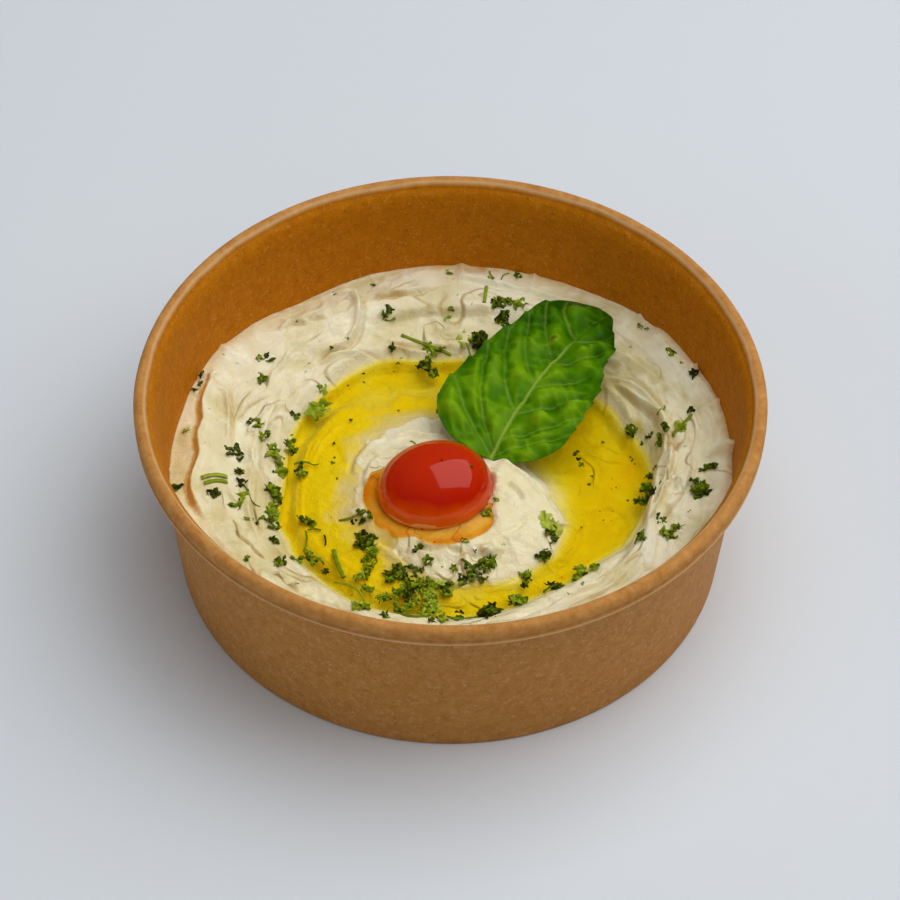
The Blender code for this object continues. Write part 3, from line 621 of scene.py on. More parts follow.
def chopped_herb(name, stops, roughness):
    """Chopped herb, fresh and half dried: each bit has its own green, from near black where it
    is bruised to yellow green, with a fine vein grain. The green also carries painted light and
    shade, lighter on raised parts and along the tops of stems."""
    made, tree, output, place = finish_named(name)
    tone = node(tree, "ShaderNodeAttribute", {}, attribute_name="tone")
    grain = node(tree, "ShaderNodeTexNoise", {"Vector": place, "Scale": 900.0, "Detail": 3.0})
    uneven = node(tree, "ShaderNodeMath", {
        0: grain.outputs["Fac"], 1: 0.5, 2: -0.25}, operation="MULTIPLY_ADD")
    level = node(tree, "ShaderNodeMath", {
        0: tone.outputs["Fac"], 1: uneven.outputs["Value"]}, operation="ADD")
    green = ramp(tree, level.outputs["Value"], *[(at, paint(code)) for at, code in stops])
    rough = node(tree, "ShaderNodeBump", {
        "Height": grain.outputs["Fac"], "Strength": 0.5, "Distance": 0.0002})
    leaf = node(tree, "ShaderNodeBsdfPrincipled", {
        "Base Color": green, "Roughness": roughness, "IOR": 1.45, "Specular IOR Level": 0.12,
        "Normal": rough.outputs["Normal"]})
    tree.links.new(leaf.outputs["BSDF"], output.inputs["Surface"])
    return made


def painted_board(name):
    """Plain pale backdrop board."""
    made, tree, output, place = finish_named(name)
    board = node(tree, "ShaderNodeBsdfPrincipled", {
        "Base Color": paint("#DFE4E9"), "Roughness": 0.75, "Specular IOR Level": 0.2})
    tree.links.new(board.outputs["BSDF"], output.inputs["Surface"])
    return made


# ---------------------------------------------------------------- shapes: small helpers


def eased(value):
    """Goes from 0 to 1 with level ends."""
    value = np.clip(value, 0.0, 1.0)
    return value * value * (3.0 - 2.0 * value)


def hill(distance, width):
    return np.exp(-(distance / width) ** 2)


def between(stops, degrees):
    """Values of a closed outline at angles, eased from stop to stop."""
    angles = np.array([stops[-1][0] - 360.0] + [s[0] for s in stops] + [stops[0][0] + 360.0])
    values = np.array([stops[-1][1]] + [s[1] for s in stops] + [stops[0][1]]) * MM
    turn = np.asarray(degrees, float) % 360.0
    at = np.clip(np.searchsorted(angles, turn, side="right") - 1, 0, len(angles) - 2)
    run = (turn - angles[at]) / (angles[at + 1] - angles[at])
    return values[at] + (values[at + 1] - values[at]) * eased(run)


def along(stops, part):
    """Values of an open run of stops, eased from stop to stop."""
    places = np.array([s[0] for s in stops])
    values = np.array([s[1] for s in stops]) * MM
    at = np.clip(np.searchsorted(places, part, side="right") - 1, 0, len(places) - 2)
    run = (part - places[at]) / (places[at + 1] - places[at])
    return values[at] + (values[at + 1] - values[at]) * eased(run)


def lumps(u, v, around, seed):
    """Smooth random relief between -1 and 1, one lump to each unit of u and v. It closes on
    itself after `around` units of u."""
    grid = np.random.default_rng(seed).uniform(-1.0, 1.0, (around, 97))
    iu = np.floor(u).astype(int)
    iv = np.floor(v).astype(int)
    fu = eased(u - iu)
    fv = eased(v - iv)
    a = grid[iu % around, iv % 97]
    b = grid[(iu + 1) % around, iv % 97]
    c = grid[iu % around, (iv + 1) % 97]
    d = grid[(iu + 1) % around, (iv + 1) % 97]
    return (a * (1 - fu) + b * fu) * (1 - fv) + (c * (1 - fu) + d * fu) * fv


def flat_lumps(x, y, size, seed):
    """Smooth random relief over the dish, one lump to each `size` metres."""
    return lumps(x / size + 400.0, y / size + 400.0, 97, seed)


def inner_wall(height):
    """Inside radius of the paper wall."""
    return FOOT_RADIUS - PAPER + WALL_FLARE * height


def polar(degrees, radius):
    angle = math.radians(degrees)
    return (radius * math.cos(angle), radius * math.sin(angle))


def curve_through(points, steps):
    """Points along a smooth curve through the given ones (Catmull-Rom)."""
    points = np.asarray(points, float)
    ends = np.vstack([2 * points[0] - points[1], points, 2 * points[-1] - points[-2]])
    made = []
    for i in range(len(points) - 1):
        a, b, c, d = ends[i:i + 4]
        for t in np.arange(steps) / steps:
            made.append(0.5 * (2 * b + (c - a) * t + (2 * a - 5 * b + 4 * c - d) * t * t
                               + (3 * b - a - 3 * c + d) * t ** 3))
    made.append(points[-1])
    return np.array(made)


def add_piece(name, points, faces, finishes, attributes=None, smooth=True):
    """Adds one mesh piece with its materials and values kept on its points."""
    mesh = bpy.data.meshes.new(name)
    mesh.from_pydata([tuple(p) for p in points], [], [tuple(f) for f in faces])
    mesh.update()
    for finish in finishes:
        mesh.materials.append(finish)
    if smooth:
        mesh.shade_smooth()
    for key, values in (attributes or {}).items():
        kept = mesh.attributes.new(key, "FLOAT", "POINT")
        kept.data.foreach_set("value", np.asarray(values, np.float32).ravel())
    piece = bpy.data.objects.new(name, mesh)
    bpy.context.scene.collection.objects.link(piece)
    return piece


def band(rows, columns, first=0, closed=True, flip=False):
    """Quads of a grid of points, row after row; each row closes on itself if closed."""
    wide = columns if closed else columns - 1
    row, column = np.meshgrid(np.arange(rows - 1), np.arange(wide), indexing="ij")
    a = first + row * columns + column
    b = first + row * columns + (column + 1) % columns
    quads = np.stack([a, a + columns, b + columns, b], -1).reshape(-1, 4)
    return quads[:, ::-1].tolist() if flip else quads.tolist()


def rounded(corners, steps=5):
    """Closed outline whose corners (across, up, rounding) are worked into small curves."""
    made = []
    for i, (x, z, rounding) in enumerate(corners):
        corner = np.array([x, z])
        before = np.array(corners[i - 1][:2]) - corner
        after = np.array(corners[(i + 1) % len(corners)][:2]) - corner
        a = corner + before * min(0.48, rounding / np.linalg.norm(before))
        b = corner + after * min(0.48, rounding / np.linalg.norm(after))
        for t in np.linspace(0.0, 1.0, steps):
            made.append((1 - t) ** 2 * a + 2 * t * (1 - t) * corner + t * t * b)
    return np.array(made)


# ---------------------------------------------------------------- paper bowl


def wall_outline():
    """Paper wall with its rolled rim above and folded foot below, outer side first."""
    half = ROLL_WIDTH / 2
    middle = RIM_RADIUS - half
    crown = RIM_HEIGHT - ROLL_CROWN
    low = RIM_HEIGHT - ROLL_DEPTH
    soft = 0.5 * MM
    corners = []
    for degrees in range(168, -1, -8):
        angle = math.radians(degrees)
        corners.append((middle + half * math.cos(angle),
                        crown + ROLL_CROWN * math.sin(angle), soft))
    corners += [
        (RIM_RADIUS - 0.62 * MM, low + 1.25 * MM, 0.3 * MM),
        (RIM_RADIUS - 0.55 * MM, low + 0.85 * MM, 0.15 * MM),
        (RIM_RADIUS - 0.16 * MM, low + 0.62 * MM, 0.2 * MM),
        (RIM_RADIUS - 0.20 * MM, low + 0.12 * MM, 0.2 * MM),
        (RIM_RADIUS - 0.85 * MM, low, 0.2 * MM),
        (FOOT_RADIUS + WALL_FLARE * low + 0.9 * MM, low, soft),
        (FOOT_RADIUS + WALL_FLARE * low, low - 0.7 * MM, soft),
        (FOOT_RADIUS + WALL_FLARE * 1.1 * MM, 1.1 * MM, soft),
        (FOOT_RADIUS - 0.2 * MM, 0.3 * MM, 0.3 * MM),
        (FOOT_RADIUS - 0.5 * MM, 0.0, 0.2 * MM),
        (FOOT_RADIUS - HEM_WIDTH + 0.4 * MM, 0.0, 0.2 * MM),
        (FOOT_RADIUS - HEM_WIDTH, 0.7 * MM, 0.3 * MM),
        (FOOT_RADIUS - HEM_WIDTH + WALL_FLARE * HEM_HEIGHT, HEM_HEIGHT, 0.1 * MM),
        (inner_wall(HEM_HEIGHT), HEM_HEIGHT, 0.1 * MM),
        (inner_wall(low - 3.0 * MM), low - 3.0 * MM, soft),
        (inner_wall(low - 1.0 * MM) + 0.06 * MM, low - 1.0 * MM, soft),
        (inner_wall(low + 0.6 * MM) + 0.30 * MM, low + 0.6 * MM, soft),
        (inner_wall(low + 2.0 * MM) + 0.75 * MM, low + 2.0 * MM, soft),
    ]
    return rounded(corners, 4)


def paper_bowl(outside, inside):
    """The wall turned round the middle, its rolled rim a little uneven as pressed paper is. The
    stretched board of the roll is paler, and lighter still along a line on its inner side."""
    outline = wall_outline()
    low = RIM_HEIGHT - ROLL_DEPTH
    angles = np.arange(WALL_STEPS) * math.tau / WALL_STEPS
    radius = outline[:, 0][:, None] + 0.0 * angles
    height = outline[:, 1][:, None] + 0.0 * angles
    turn = angles[None, :] / math.tau
    roll = eased((height - (RIM_HEIGHT - ROLL_DEPTH)) / (2 * MM))
    under = roll * eased((RIM_HEIGHT - 0.3 * MM - height) / (2 * MM))
    radius -= 0.12 * MM * under * (0.5 + 0.5 * lumps(turn * 40 + 0 * height, 0 * height, 40, 3))
    height -= 0.10 * MM * roll * (0.5 + 0.5 * lumps(turn * 24 + 0 * height, 0 * height, 24, 4))
    points = np.stack([radius * np.cos(angles), radius * np.sin(angles), height], -1)
    rows = len(outline)
    faces = band(rows, WALL_STEPS, flip=True)
    last = (rows - 1) * WALL_STEPS
    for i in range(WALL_STEPS):
        j = (i + 1) % WALL_STEPS
        faces.append((last + i, last + j, j, i))
    across = (radius - (RIM_RADIUS - ROLL_WIDTH)) / ROLL_WIDTH
    crown = eased((across - 0.02) * 9.0) * eased((height - low + 0.2 * MM) / (0.4 * MM))
    lip = hill(height - low - 0.35 * MM, 0.35 * MM) * eased((across - 0.4) * 4.0)
    line = hill(across - 0.20 - 0.05 * lumps(turn * 60 + 0 * height, 0 * height, 60, 5), 0.10)
    line = line * eased((height - RIM_HEIGHT + 2.2 * MM) / (0.8 * MM))
    piece = add_piece("paper_bowl", points.reshape(-1, 3), faces, [outside, inside],
                      {"crown": crown, "cut": 0.7 * lip + 0.55 * line})
    coated = [0] * len(faces)
    for k, face in enumerate(faces):
        row = face[0] // WALL_STEPS
        across, up = outline[row]
        if up > HEM_HEIGHT - 0.1 * MM and across < inner_wall(up) + 0.5 * MM:
            coated[k] = 1
        if up > low + 0.6 * MM:
            coated[k] = 1
    piece.data.polygons.foreach_set("material_index", coated)
    return piece


# ---------------------------------------------------------------- hummus


def outlines(degrees):
    """Edges of the seat, the mound, the pool and the wall at each angle, as x, y pairs."""
    angle = np.radians(degrees)
    turn = degrees / 360.0
    cos, sin = np.cos(angle), np.sin(angle)
    seat = between(SEAT_EDGE, degrees) + 0.55 * MM * lumps(turn * 38, 0 * turn, 38, 11)
    mound = between(MOUND_EDGE, degrees) + 0.55 * MM * lumps(turn * 30, 0 * turn, 30, 12)
    pool = between(POOL_EDGE, degrees) + 0.40 * MM * lumps(turn * 44, 0 * turn, 44, 13)
    wall_height = wall_line(degrees)
    reach = inner_wall(wall_height) - 0.04 * MM
    return (
        (TOMATO_MIDDLE[0] + 0 * cos, TOMATO_MIDDLE[1] + 0 * sin),
        (TOMATO_MIDDLE[0] + seat * cos, TOMATO_MIDDLE[1] + seat * sin),
        (MOUND_MIDDLE[0] + mound * cos, MOUND_MIDDLE[1] + mound * sin),
        (POOL_MIDDLE[0] + pool * cos, POOL_MIDDLE[1] + pool * sin),
        (reach * cos, reach * sin),
    )


def wall_line(degrees):
    """How high the hummus clings to the paper, with its smears."""
    turn = degrees / 360.0
    height = between(WALL_LINE, degrees)
    height = height + 0.30 * MM * lumps(turn * 60, 0 * turn, 60, 21)
    height = height + 0.15 * MM * lumps(turn * 170, 0 * turn, 170, 22)
    for at, wide, high in SMEARS:
        off = (degrees - at + 180.0) % 360.0 - 180.0
        height = height + high * MM * np.clip(1.0 - np.abs(off) / wide, 0.0, 1.0) ** 1.3
    return height


def front_lobe(degrees):
    """At the front right the ring is a thick clean lobe that drops steeply to the oil."""
    return eased(np.cos(np.radians(degrees + 32.0)) * 2.2 - 1.0)


def bed(degrees, part, x, y):
    """Height of the hummus before its creases. part runs 0-1 over the seat, 1-2 down the
    mound, 2-3 across the furrow and 3-4 up the ring to the paper."""
    edge = OIL_LEVEL - 2 * OIL_EDGE
    left = between(GENTLE, degrees) / MM
    run = np.clip(part - 1.0, 0.0, 1.0)
    lip = LIP_LEVEL - 0.9 * MM * left
    lip = lip - (lip - SEAT_LEVEL) * (1.0 - eased(run / 0.10))
    steep = run ** 3.2
    skirt = lip + (edge - lip) * (1.40 * run - 0.40 * run * run)
    mound = lip + (edge - lip) * steep
    mound = mound + (skirt - mound) * left
    run = np.clip(part - 2.0, 0.0, 1.0)
    near = FURROW_DEPTH * eased(run * 3.2)
    far = SHELF_DEPTH * eased(run * 3.0) + (FURROW_DEPTH - SHELF_DEPTH) * eased(run * 2.2 - 0.7)
    floor = edge - (near + (far - near) * left) * eased((1.0 - run) * 15.0)
    radius = np.hypot(x, y)
    pool = outlines(degrees)[3]
    away = radius - np.hypot(pool[0], pool[1])
    bank = edge + 2.5 * MM * eased(away / (3.6 * MM)) + 0.05 * away
    lobe = front_lobe(degrees)
    shift = (3.4 + 2.6 * lobe + 0.9 * lobe * flat_lumps(x, y, 5.0 * MM, 66)) * MM
    step = eased((radius - STEP_RADIUS + shift) / ((7.0 - 4.4 * lobe) * MM))
    ring = bank + (CROWN_LEVEL - bank) * step
    wall = wall_line(degrees)
    ring = ring + (wall - ring) * eased((radius - 59.5 * MM) / (8.0 * MM))
    base = np.where(part <= 1.0, SEAT_LEVEL, mound)
    return np.where(part <= 2.0, base, np.where(part <= 3.0, floor, ring))


def crease(x, y, line, width, depth, lip, side):
    """Relief of one crease: a sharp valley along the line, with a rounded lip on one side that
    falls off slowly behind it. Also gives how close each point is to the valley."""
    change = np.zeros_like(x)
    near = np.zeros_like(x)
    reach = 9.0 * MM
    low, high = line.min(0) - reach, line.max(0) + reach
    close = (x > low[0]) & (x < high[0]) & (y > low[1]) & (y < high[1])
    px, py = x[close], y[close]
    best = np.full(px.shape, 1.0)
    signed = np.zeros(px.shape)
    where = np.zeros(px.shape)
    lengths = np.hypot(*(line[1:] - line[:-1]).T)
    total = lengths.sum()
    gone = 0.0
    for a, b, length in zip(line[:-1], line[1:], lengths):
        dx, dy = (b - a) / length
        run = np.clip((px - a[0]) * dx + (py - a[1]) * dy, 0.0, length)
        ox = px - a[0] - dx * run
        oy = py - a[1] - dy * run
        off = np.hypot(ox, oy)
        nearer = off < best
        best = np.where(nearer, off, best)
        signed = np.where(nearer, np.sign(dx * oy - dy * ox) * off, signed)
        where = np.where(nearer, (gone + run) / total, where)
        gone += length
    fade = eased(np.minimum(where, 1.0 - where) * 5.0 + 0.02)
    width = 0.8 * width * MM
    valley = hill(best, width)
    best = np.abs(best + 0.22 * MM * flat_lumps(px, py, 2.8 * MM, 65))
    out = side * signed
    ridge = np.where(out > 0, hill(out - 1.6 * width, 1.5 * width), 0.0)
    ridge = ridge + np.where(out > 0, (1 - hill(out, width)) * np.exp(-out / (3.2 * MM)), 0.0)
    change[close] = fade * MM * (1.15 * lip * ridge - 1.5 * depth * valley)
    near[close] = fade * eased((2.0 * width - best) / width)
    return change, near


def surface_at(degrees, part):
    """Points of the hummus, and how stained, how oiled, how yellowed by oil and how filmed each is; the stained and
    yellowed values also carry painted shade.
    """
    edges = outlines(degrees)
    step = np.clip(part.astype(int), 0, 3)
    run = part - step
    x = np.choose(step, [edges[i][0] + (edges[i + 1][0] - edges[i][0]) * run for i in range(4)])
    y = np.choose(step, [edges[i][1] + (edges[i + 1][1] - edges[i][1]) * run for i in range(4)])
    z = bed(degrees, part, x, y)
    radius = np.hypot(x, y)
    turn = degrees / 360.0
    ring = eased((part - 3.0) * 6.0) * eased((4.0 - part) * 7.0)
    mound = eased((part - 1.0) * 9.0) * (0.25 + 0.75 * eased((2.0 - part) * 3.0)) * (part < 2.0)
    furrow = eased((part - 1.9) * 5.0) * eased((3.05 - part) * 8.0)
    bend = 1.6 * lumps(turn * 9, radius / (14 * MM), 9, 31)
    streaked = between(STREAKED, degrees) / MM
    stepped = between(STEPPED, degrees) / MM
    strokes = lumps(turn * 20, radius / (4.6 * MM) + bend, 20, 32)
    fold = lumps(turn * 14, radius / (3.4 * MM) + 1.8 * bend, 14, 39)
    streak = lumps(turn * 30, radius / (1.3 * MM) + 2.2 * bend, 30, 33)
    hairs = lumps(turn * 60, radius / (0.75 * MM) + 4.0 * bend, 60, 34)
    warp = 2.6 * MM * flat_lumps(x, y, 7.0 * MM, 46)
    torn = flat_lumps(x + 0.3 * y + warp, y - 0.3 * x, 4.6 * MM, 40)
    torn_fine = flat_lumps(x + 0.4 * y + warp, y, 2.1 * MM, 38)
    # paste lies in soft lumps, in steps with ragged edges, and in streaks drawn by the spoon
    step_edge = eased((fold + 0.35 * torn_fine + 0.1) * 3.2)
    ridges = 0.55 * flat_lumps(x, y, 9 * MM, 35) + 0.30 * strokes
    ridges = ridges + 0.70 * (0.5 - np.abs(torn)) + 0.85 * stepped * (step_edge - 0.5)
    ridges = ridges + streaked * (0.42 * (np.abs(streak) - 0.35) + 0.10 * hairs)
    ridges = ridges + 0.16 * (0.5 - np.abs(torn_fine))
    z = z + ring * MM * ridges
    swirl = 0.20 * strokes + 0.24 * (np.abs(streak) - 0.3) + 0.30 * flat_lumps(x, y, 4 * MM, 36)
    z = z + furrow * MM * (swirl + 0.26 * (np.abs(torn) - 0.3))
    rough = 0.45 * flat_lumps(x, y, 6.2 * MM, 37) + 0.45 * (0.5 - np.abs(torn))
    rough = rough + 0.22 * (np.abs(torn_fine) - 0.3)
    z = z + mound * MM * rough
    valleys = 0.6 * hill(fold + 0.35 * torn_fine + 0.1, 0.10) * stepped
    valleys = np.maximum(valleys, 0.4 * streaked * hill(streak, 0.07))
    off = np.hypot(x - MOUND_MIDDLE[0], y - MOUND_MIDDLE[1])
    ragged = 2.4 * flat_lumps(x, y, 4.4 * MM, 63) + 1.2 * torn_fine + 0.5 * streak
    beyond = off - between(BARE_EDGE, degrees) - ragged * MM
    deeper = np.clip(beyond / (9 * MM), 0.0, 1.0) ** 1.2
    filmed = eased(beyond / (0.7 * MM)) * (0.28 + 0.72 * deeper)
    filmed = filmed * (part < 3.0) * eased((part - 1.0) * 20.0)
    filmed = filmed * eased(1.7 - (OIL_LEVEL - z) / (1.1 * MM))
    z = z - 0.28 * MM * eased(beyond / (0.9 * MM)) * (part > 1.05) * (part < 2.0)
    stain_and_shade = np.zeros_like(x)
    for points, width, depth, lip, side, stained in CREASES:
        line = curve_through([polar(a, r * MM) for a, r in points], 6)
        change, near = crease(x, y, line, width, depth, lip, side)
        z = z + change * eased((part - 3.0) * 5.0) * eased((4.0 - part) * 9.0)
        stain_and_shade = np.maximum(stain_and_shade, stained * near)
    for points, width, depth, lip, side in MOUND_CREASES:
        line = curve_through(np.array(points) * MM, 6)
        change, near = crease(x, y, line, width, depth, lip, side)
        z = z + change * eased((part - 1.05) * 8.0) * eased((2.2 - part) * 4.0)
    line = curve_through([polar(a, r * MM) for a, r in SKIN_LINE], 8)
    change, near = crease(x, y, line, 0.30, 0.8, 0.0, 1)
    z = z + change * (part > 2.0) * (part < 3.0)
    for dab_x, dab_y, wide, high in DABS:
        off = np.hypot(x - dab_x * MM, y - dab_y * MM)
        z = z + high * MM * hill(off, wide * MM) * eased((part - 1.02) * 12.0)
    # painted shade and brown bounce light of the wall: an amber band along the paper where the hummus meets it,
    # varied by the strokes
    along_paper = hill(4.0 - part, 0.07) * np.clip(0.55 + 0.75 * strokes, 0.0, 0.8)
    stain_and_shade = np.maximum(stain_and_shade, along_paper * (part > 3.5))
    behind = eased((radius - 63.6 * MM) / (1.6 * MM)) * hill(degrees - 177.0, 16.0)
    stain_and_shade = np.maximum(stain_and_shade, behind * np.clip(0.10 + 0.5 * torn, 0.0, 0.45))
    oiled = eased((OIL_LEVEL + 1.1 * MM - z) / (1.4 * MM)) * (part > 1.3)
    shore = hill(z - OIL_LEVEL - 1.2 * MM, 1.5 * MM) * (part > 2.5)
    # painted shade: the yellow is also laid on the shore and the inner slope where they turn away from the light,
    # most on the right, in the valleys and in the hollows between the ridges
    turned = 0.5 + 0.5 * np.cos(np.radians(degrees - 35.0))
    blotch = flat_lumps(x + 0.5 * y, y - 0.5 * x, 6.0 * MM, 43)
    soaked_and_shaded = shore * (0.10 + 0.90 * turned ** 2) + 0.60 * blotch - 0.16
    soaked_and_shaded = np.clip(soaked_and_shaded + 0.14 * np.cos(np.radians(degrees - 185.0)), 0.0, 1.0)
    soaked_and_shaded = np.maximum(soaked_and_shaded, valleys * (0.45 + 0.35 * blotch))
    soaked_and_shaded = np.maximum(soaked_and_shaded, 0.60 * np.clip(0.22 - ridges, 0.0, 1.0))
    slope_in = eased((STEP_RADIUS - 0.5 * MM + 1.8 * MM * strokes - radius) / (2.4 * MM))
    slope_in = slope_in * (1.0 - 0.85 * front_lobe(degrees))
    soaked_and_shaded = np.maximum(soaked_and_shaded, slope_in * (0.10 + 0.80 * turned ** 2) * (0.8 + 0.4 * torn))
    soaked_and_shaded = soaked_and_shaded * eased((part - 2.6) * 4.0) * eased((4.02 - part) * 12.0)
    return x, y, z, stain_and_shade, oiled, soaked_and_shaded, filmed


def ring_parts():
    return np.concatenate([
        np.linspace(0.15, 1.0, SEAT_RINGS, endpoint=False),
        np.linspace(1.0, 2.0, MOUND_RINGS, endpoint=False),
        np.linspace(2.0, 3.0, FURROW_RINGS, endpoint=False),
        np.linspace(3.0, 4.0, RING_RINGS),
    ])


def dish_grid(parts):
    return np.meshgrid(np.arange(AROUND) * 360.0 / AROUND, parts)


def hummus_spread(finish):
    """The whole helping, closed below by a side along the paper and a flat bottom."""
    parts = ring_parts()
    degrees, part = dish_grid(parts)
    x, y, z, stain_and_shade, oiled, soaked_and_shaded, filmed = surface_at(degrees, part)
    top = np.stack([x, y, z], -1).reshape(-1, 3)
    reach = inner_wall(HUMMUS_LOW) - 0.1 * MM
    angle = np.radians(degrees[0])
    foot = np.stack([reach * np.cos(angle), reach * np.sin(angle), 0 * angle + HUMMUS_LOW], -1)
    rows = len(parts)
    faces = band(rows + 1, AROUND)
    points = np.vstack([top, foot, [(*TOMATO_MIDDLE, SEAT_LEVEL), (0, 0, HUMMUS_LOW)]])
    middle = len(points) - 2
    last = rows * AROUND
    for i in range(AROUND):
        j = (i + 1) % AROUND
        faces.append((middle, i, j))
        faces.append((middle + 1, last + j, last + i))
    more = np.zeros(AROUND + 2)
    piece = add_piece("hummus_spread", points, faces, [finish], {
        "stain_and_shade": np.concatenate([stain_and_shade.ravel(), more]),
        "oiled": np.concatenate([oiled.ravel(), more]),
        "soaked_and_shaded": np.concatenate([soaked_and_shaded.ravel(), more]),
        "filmed": np.concatenate([filmed.ravel(), more])})
    return piece, ([tuple(p) for p in points], faces)


def oil_pool(finish):
    """Level oil whose rim climbs a little where it meets the hummus. The sheet runs on into
    the hummus all round, so that its shore is where the two surfaces meet."""
    parts = np.concatenate([np.linspace(1.55, 2.0, 20), np.linspace(2.0, 3.0, FURROW_RINGS)[1:],
                            np.linspace(3.0, 3.16, 12)[1:]])
    degrees, part = dish_grid(parts)
    x, y, z = surface_at(degrees, part)[:3]
    depth = np.clip(OIL_LEVEL - z, 0.0, 1.0)
    climb = 0.30 * MM * hill(depth, 0.45 * MM)
    top = np.stack([x, y, OIL_LEVEL + climb + 0 * z], -1).reshape(-1, 3)
    low = np.minimum(z - 0.03 * MM, OIL_LEVEL - 0.06 * MM)
    under = np.stack([x, y, low], -1).reshape(-1, 3)
    rows = len(parts)
    below = rows * AROUND
    faces = band(rows, AROUND) + band(rows, AROUND, first=below, flip=True)
    last = (rows - 1) * AROUND
    for i in range(AROUND):
        j = (i + 1) % AROUND
        faces.append((i, j, below + j, below + i))
        faces.append((last + j, last + i, below + last + i, below + last + j))
    deep = (depth / MM + 0.10).ravel()
    return add_piece("oil_pool", np.vstack([top, under]), faces, [finish],
                     {"depth": np.concatenate([deep, 0.0 * deep])})


# ---------------------------------------------------------------- tomato and its juice


def tomato_rim(degrees):
    """Radius of the tomato's cut edge at angles round its middle."""
    angle = np.radians(degrees) - TOMATO_TURN
    across = np.cos(angle) / (TOMATO_LENGTH / 2)
    along_it = np.sin(angle) / (TOMATO_WIDTH / 2)
    return 1.0 / np.hypot(across, along_it)


def cherry_tomato_half(finish):
    """Half a tomato, cut face down: a smooth dome with the faint dimples of real fruit and a
    thin rounded edge where the knife went."""
    columns, rows = 128, 48
    degrees = np.arange(columns) * 360.0 / columns
    rise = np.concatenate([[0.0, 0.012, 0.03], np.linspace(0.06, 0.985, rows - 3)])
    lift, turn = np.meshgrid(rise * math.pi / 2, degrees, indexing="ij")
    swell = 1.0 + 0.010 * lumps(turn / 360 * 7, lift * 2.2, 7, 41)
    spread = np.cos(lift) ** 0.94 * swell
    rim = tomato_rim(turn)
    tuck = 1.0 - 0.03 * (1.0 - eased(lift / 0.10))
    x = rim * spread * tuck * np.cos(np.radians(turn))
    y = rim * spread * tuck * np.sin(np.radians(turn))
    z = TOMATO_HEIGHT * np.sin(lift) ** 0.98
    points = np.stack([x, y, z], -1).reshape(-1, 3)
    points = np.vstack([points, [(0, 0, TOMATO_HEIGHT * 0.9997), (0, 0, 0)]])
    faces = band(rows, columns)
    faces = [f[::-1] for f in faces]
    top, bottom = len(points) - 2, len(points) - 1
    last = (rows - 1) * columns
    for i in range(columns):
        j = (i + 1) % columns
        faces.append((top, last + i, last + j))
        faces.append((bottom, j, i))
    # painted light and shade: oranger and lighter low at the front, deeper red at the right
    height = points[:, 2] / TOMATO_HEIGHT
    height = height + 0.05 + (0.013 * points[:, 1] + 0.010 * np.maximum(points[:, 0], 0.0)) / MM
    points = points + (*TOMATO_MIDDLE, TOMATO_BASE)
    return add_piece("cherry_tomato_half", points, faces, [finish], {"height": height})


def tomato_juice(finish):
    """Juice that has run out from under the tomato and fills the seat up to its edge."""
    columns = 256
    degrees = np.arange(columns) * 360.0 / columns
    angle = np.radians(degrees)
    outer = np.hypot(outlines(degrees)[1][0] - TOMATO_MIDDLE[0],
                     outlines(degrees)[1][1] - TOMATO_MIDDLE[1]) + 0.9 * MM
    inner = tomato_rim(degrees) - 0.5 * MM
    outer = np.maximum(outer, inner + 0.8 * MM)
    shares = np.array([0.0, 0.1, 0.22, 0.4, 0.6, 0.78, 0.9, 1.0])
    points, depth = [], []
    for under in (False, True):
        for share in shares:
            radius = inner + (outer - inner) * share
            top = SEAT_LEVEL + 0.50 * MM + 0.45 * MM * math.exp(-share * 9.0)
            top = top - 0.9 * MM * eased((1.7 * MM - outer + inner) / (0.6 * MM))
            level = top - 0.5 * MM if under else top
            points.append(np.stack([TOMATO_MIDDLE[0] + radius * np.cos(angle),
                                    TOMATO_MIDDLE[1] + radius * np.sin(angle),
                                    0 * angle + level], -1))
            thick = 1.00 - 0.10 * np.cos(angle - math.radians(285.0))
            blotch = 0.15 * lumps(degrees / 360.0 * 22, 0 * degrees + 3 * share, 22, 45)
            border = 0.55 * hill(share - 0.86, 0.10)
            depth.append((0.0 if under else 1.0) * (thick - 0.3 * share + blotch + border))
    points = np.vstack(points)
    rows = len(shares)
    below = rows * columns
    faces = band(rows, columns) + band(rows, columns, first=below, flip=True)
    last = (rows - 1) * columns
    for i in range(columns):
        j = (i + 1) % columns
        faces.append((i, j, below + j, below + i))
        faces.append((last + j, last + i, below + last + i, below + last + j))
    return add_piece("tomato_juice", points, faces, [finish], {"depth": np.concatenate(depth)})


# ---------------------------------------------------------------- basil leaf


def leaf_half_width(part, side):
    """Half width of the blade: rounded at the stalk end, blunt at the tip, finely toothed."""
    stalk = np.sqrt(1.0 - (1.0 - np.minimum(part / 0.22, 1.0)) ** 2)
    tip = np.sqrt(np.clip(1.0 - np.maximum(0.0, (part - 0.8) / 0.2) ** 2.4, 0.0, 1.0))
    width = np.where(side > 0, along(LEAF_LEFT, part), along(LEAF_RIGHT, part))
    teeth = np.where(side > 0, (part * 9.0 + 0.3) % 1.0, (part * 11.0) % 1.0)
    bite = 0.7 * MM * (teeth ** 2 - 0.4) * eased((part - 0.12) * 6.0)
    return width * stalk * tip + bite * stalk * tip


def vein_distance(part, across, side_veins, side):
    """Distance in millimetres from the nearest side vein on one side of the leaf."""
    out = np.clip(across * side, 0.0, 1.0)
    nearest = np.full(part.shape, 50.0)
    for start, forward in side_veins:
        line = start + forward * out ** 1.25
        nearest = np.minimum(nearest, np.abs(part - line) * LEAF_LENGTH * 0.8)
    return np.where(across * side > 0, nearest, 50.0)


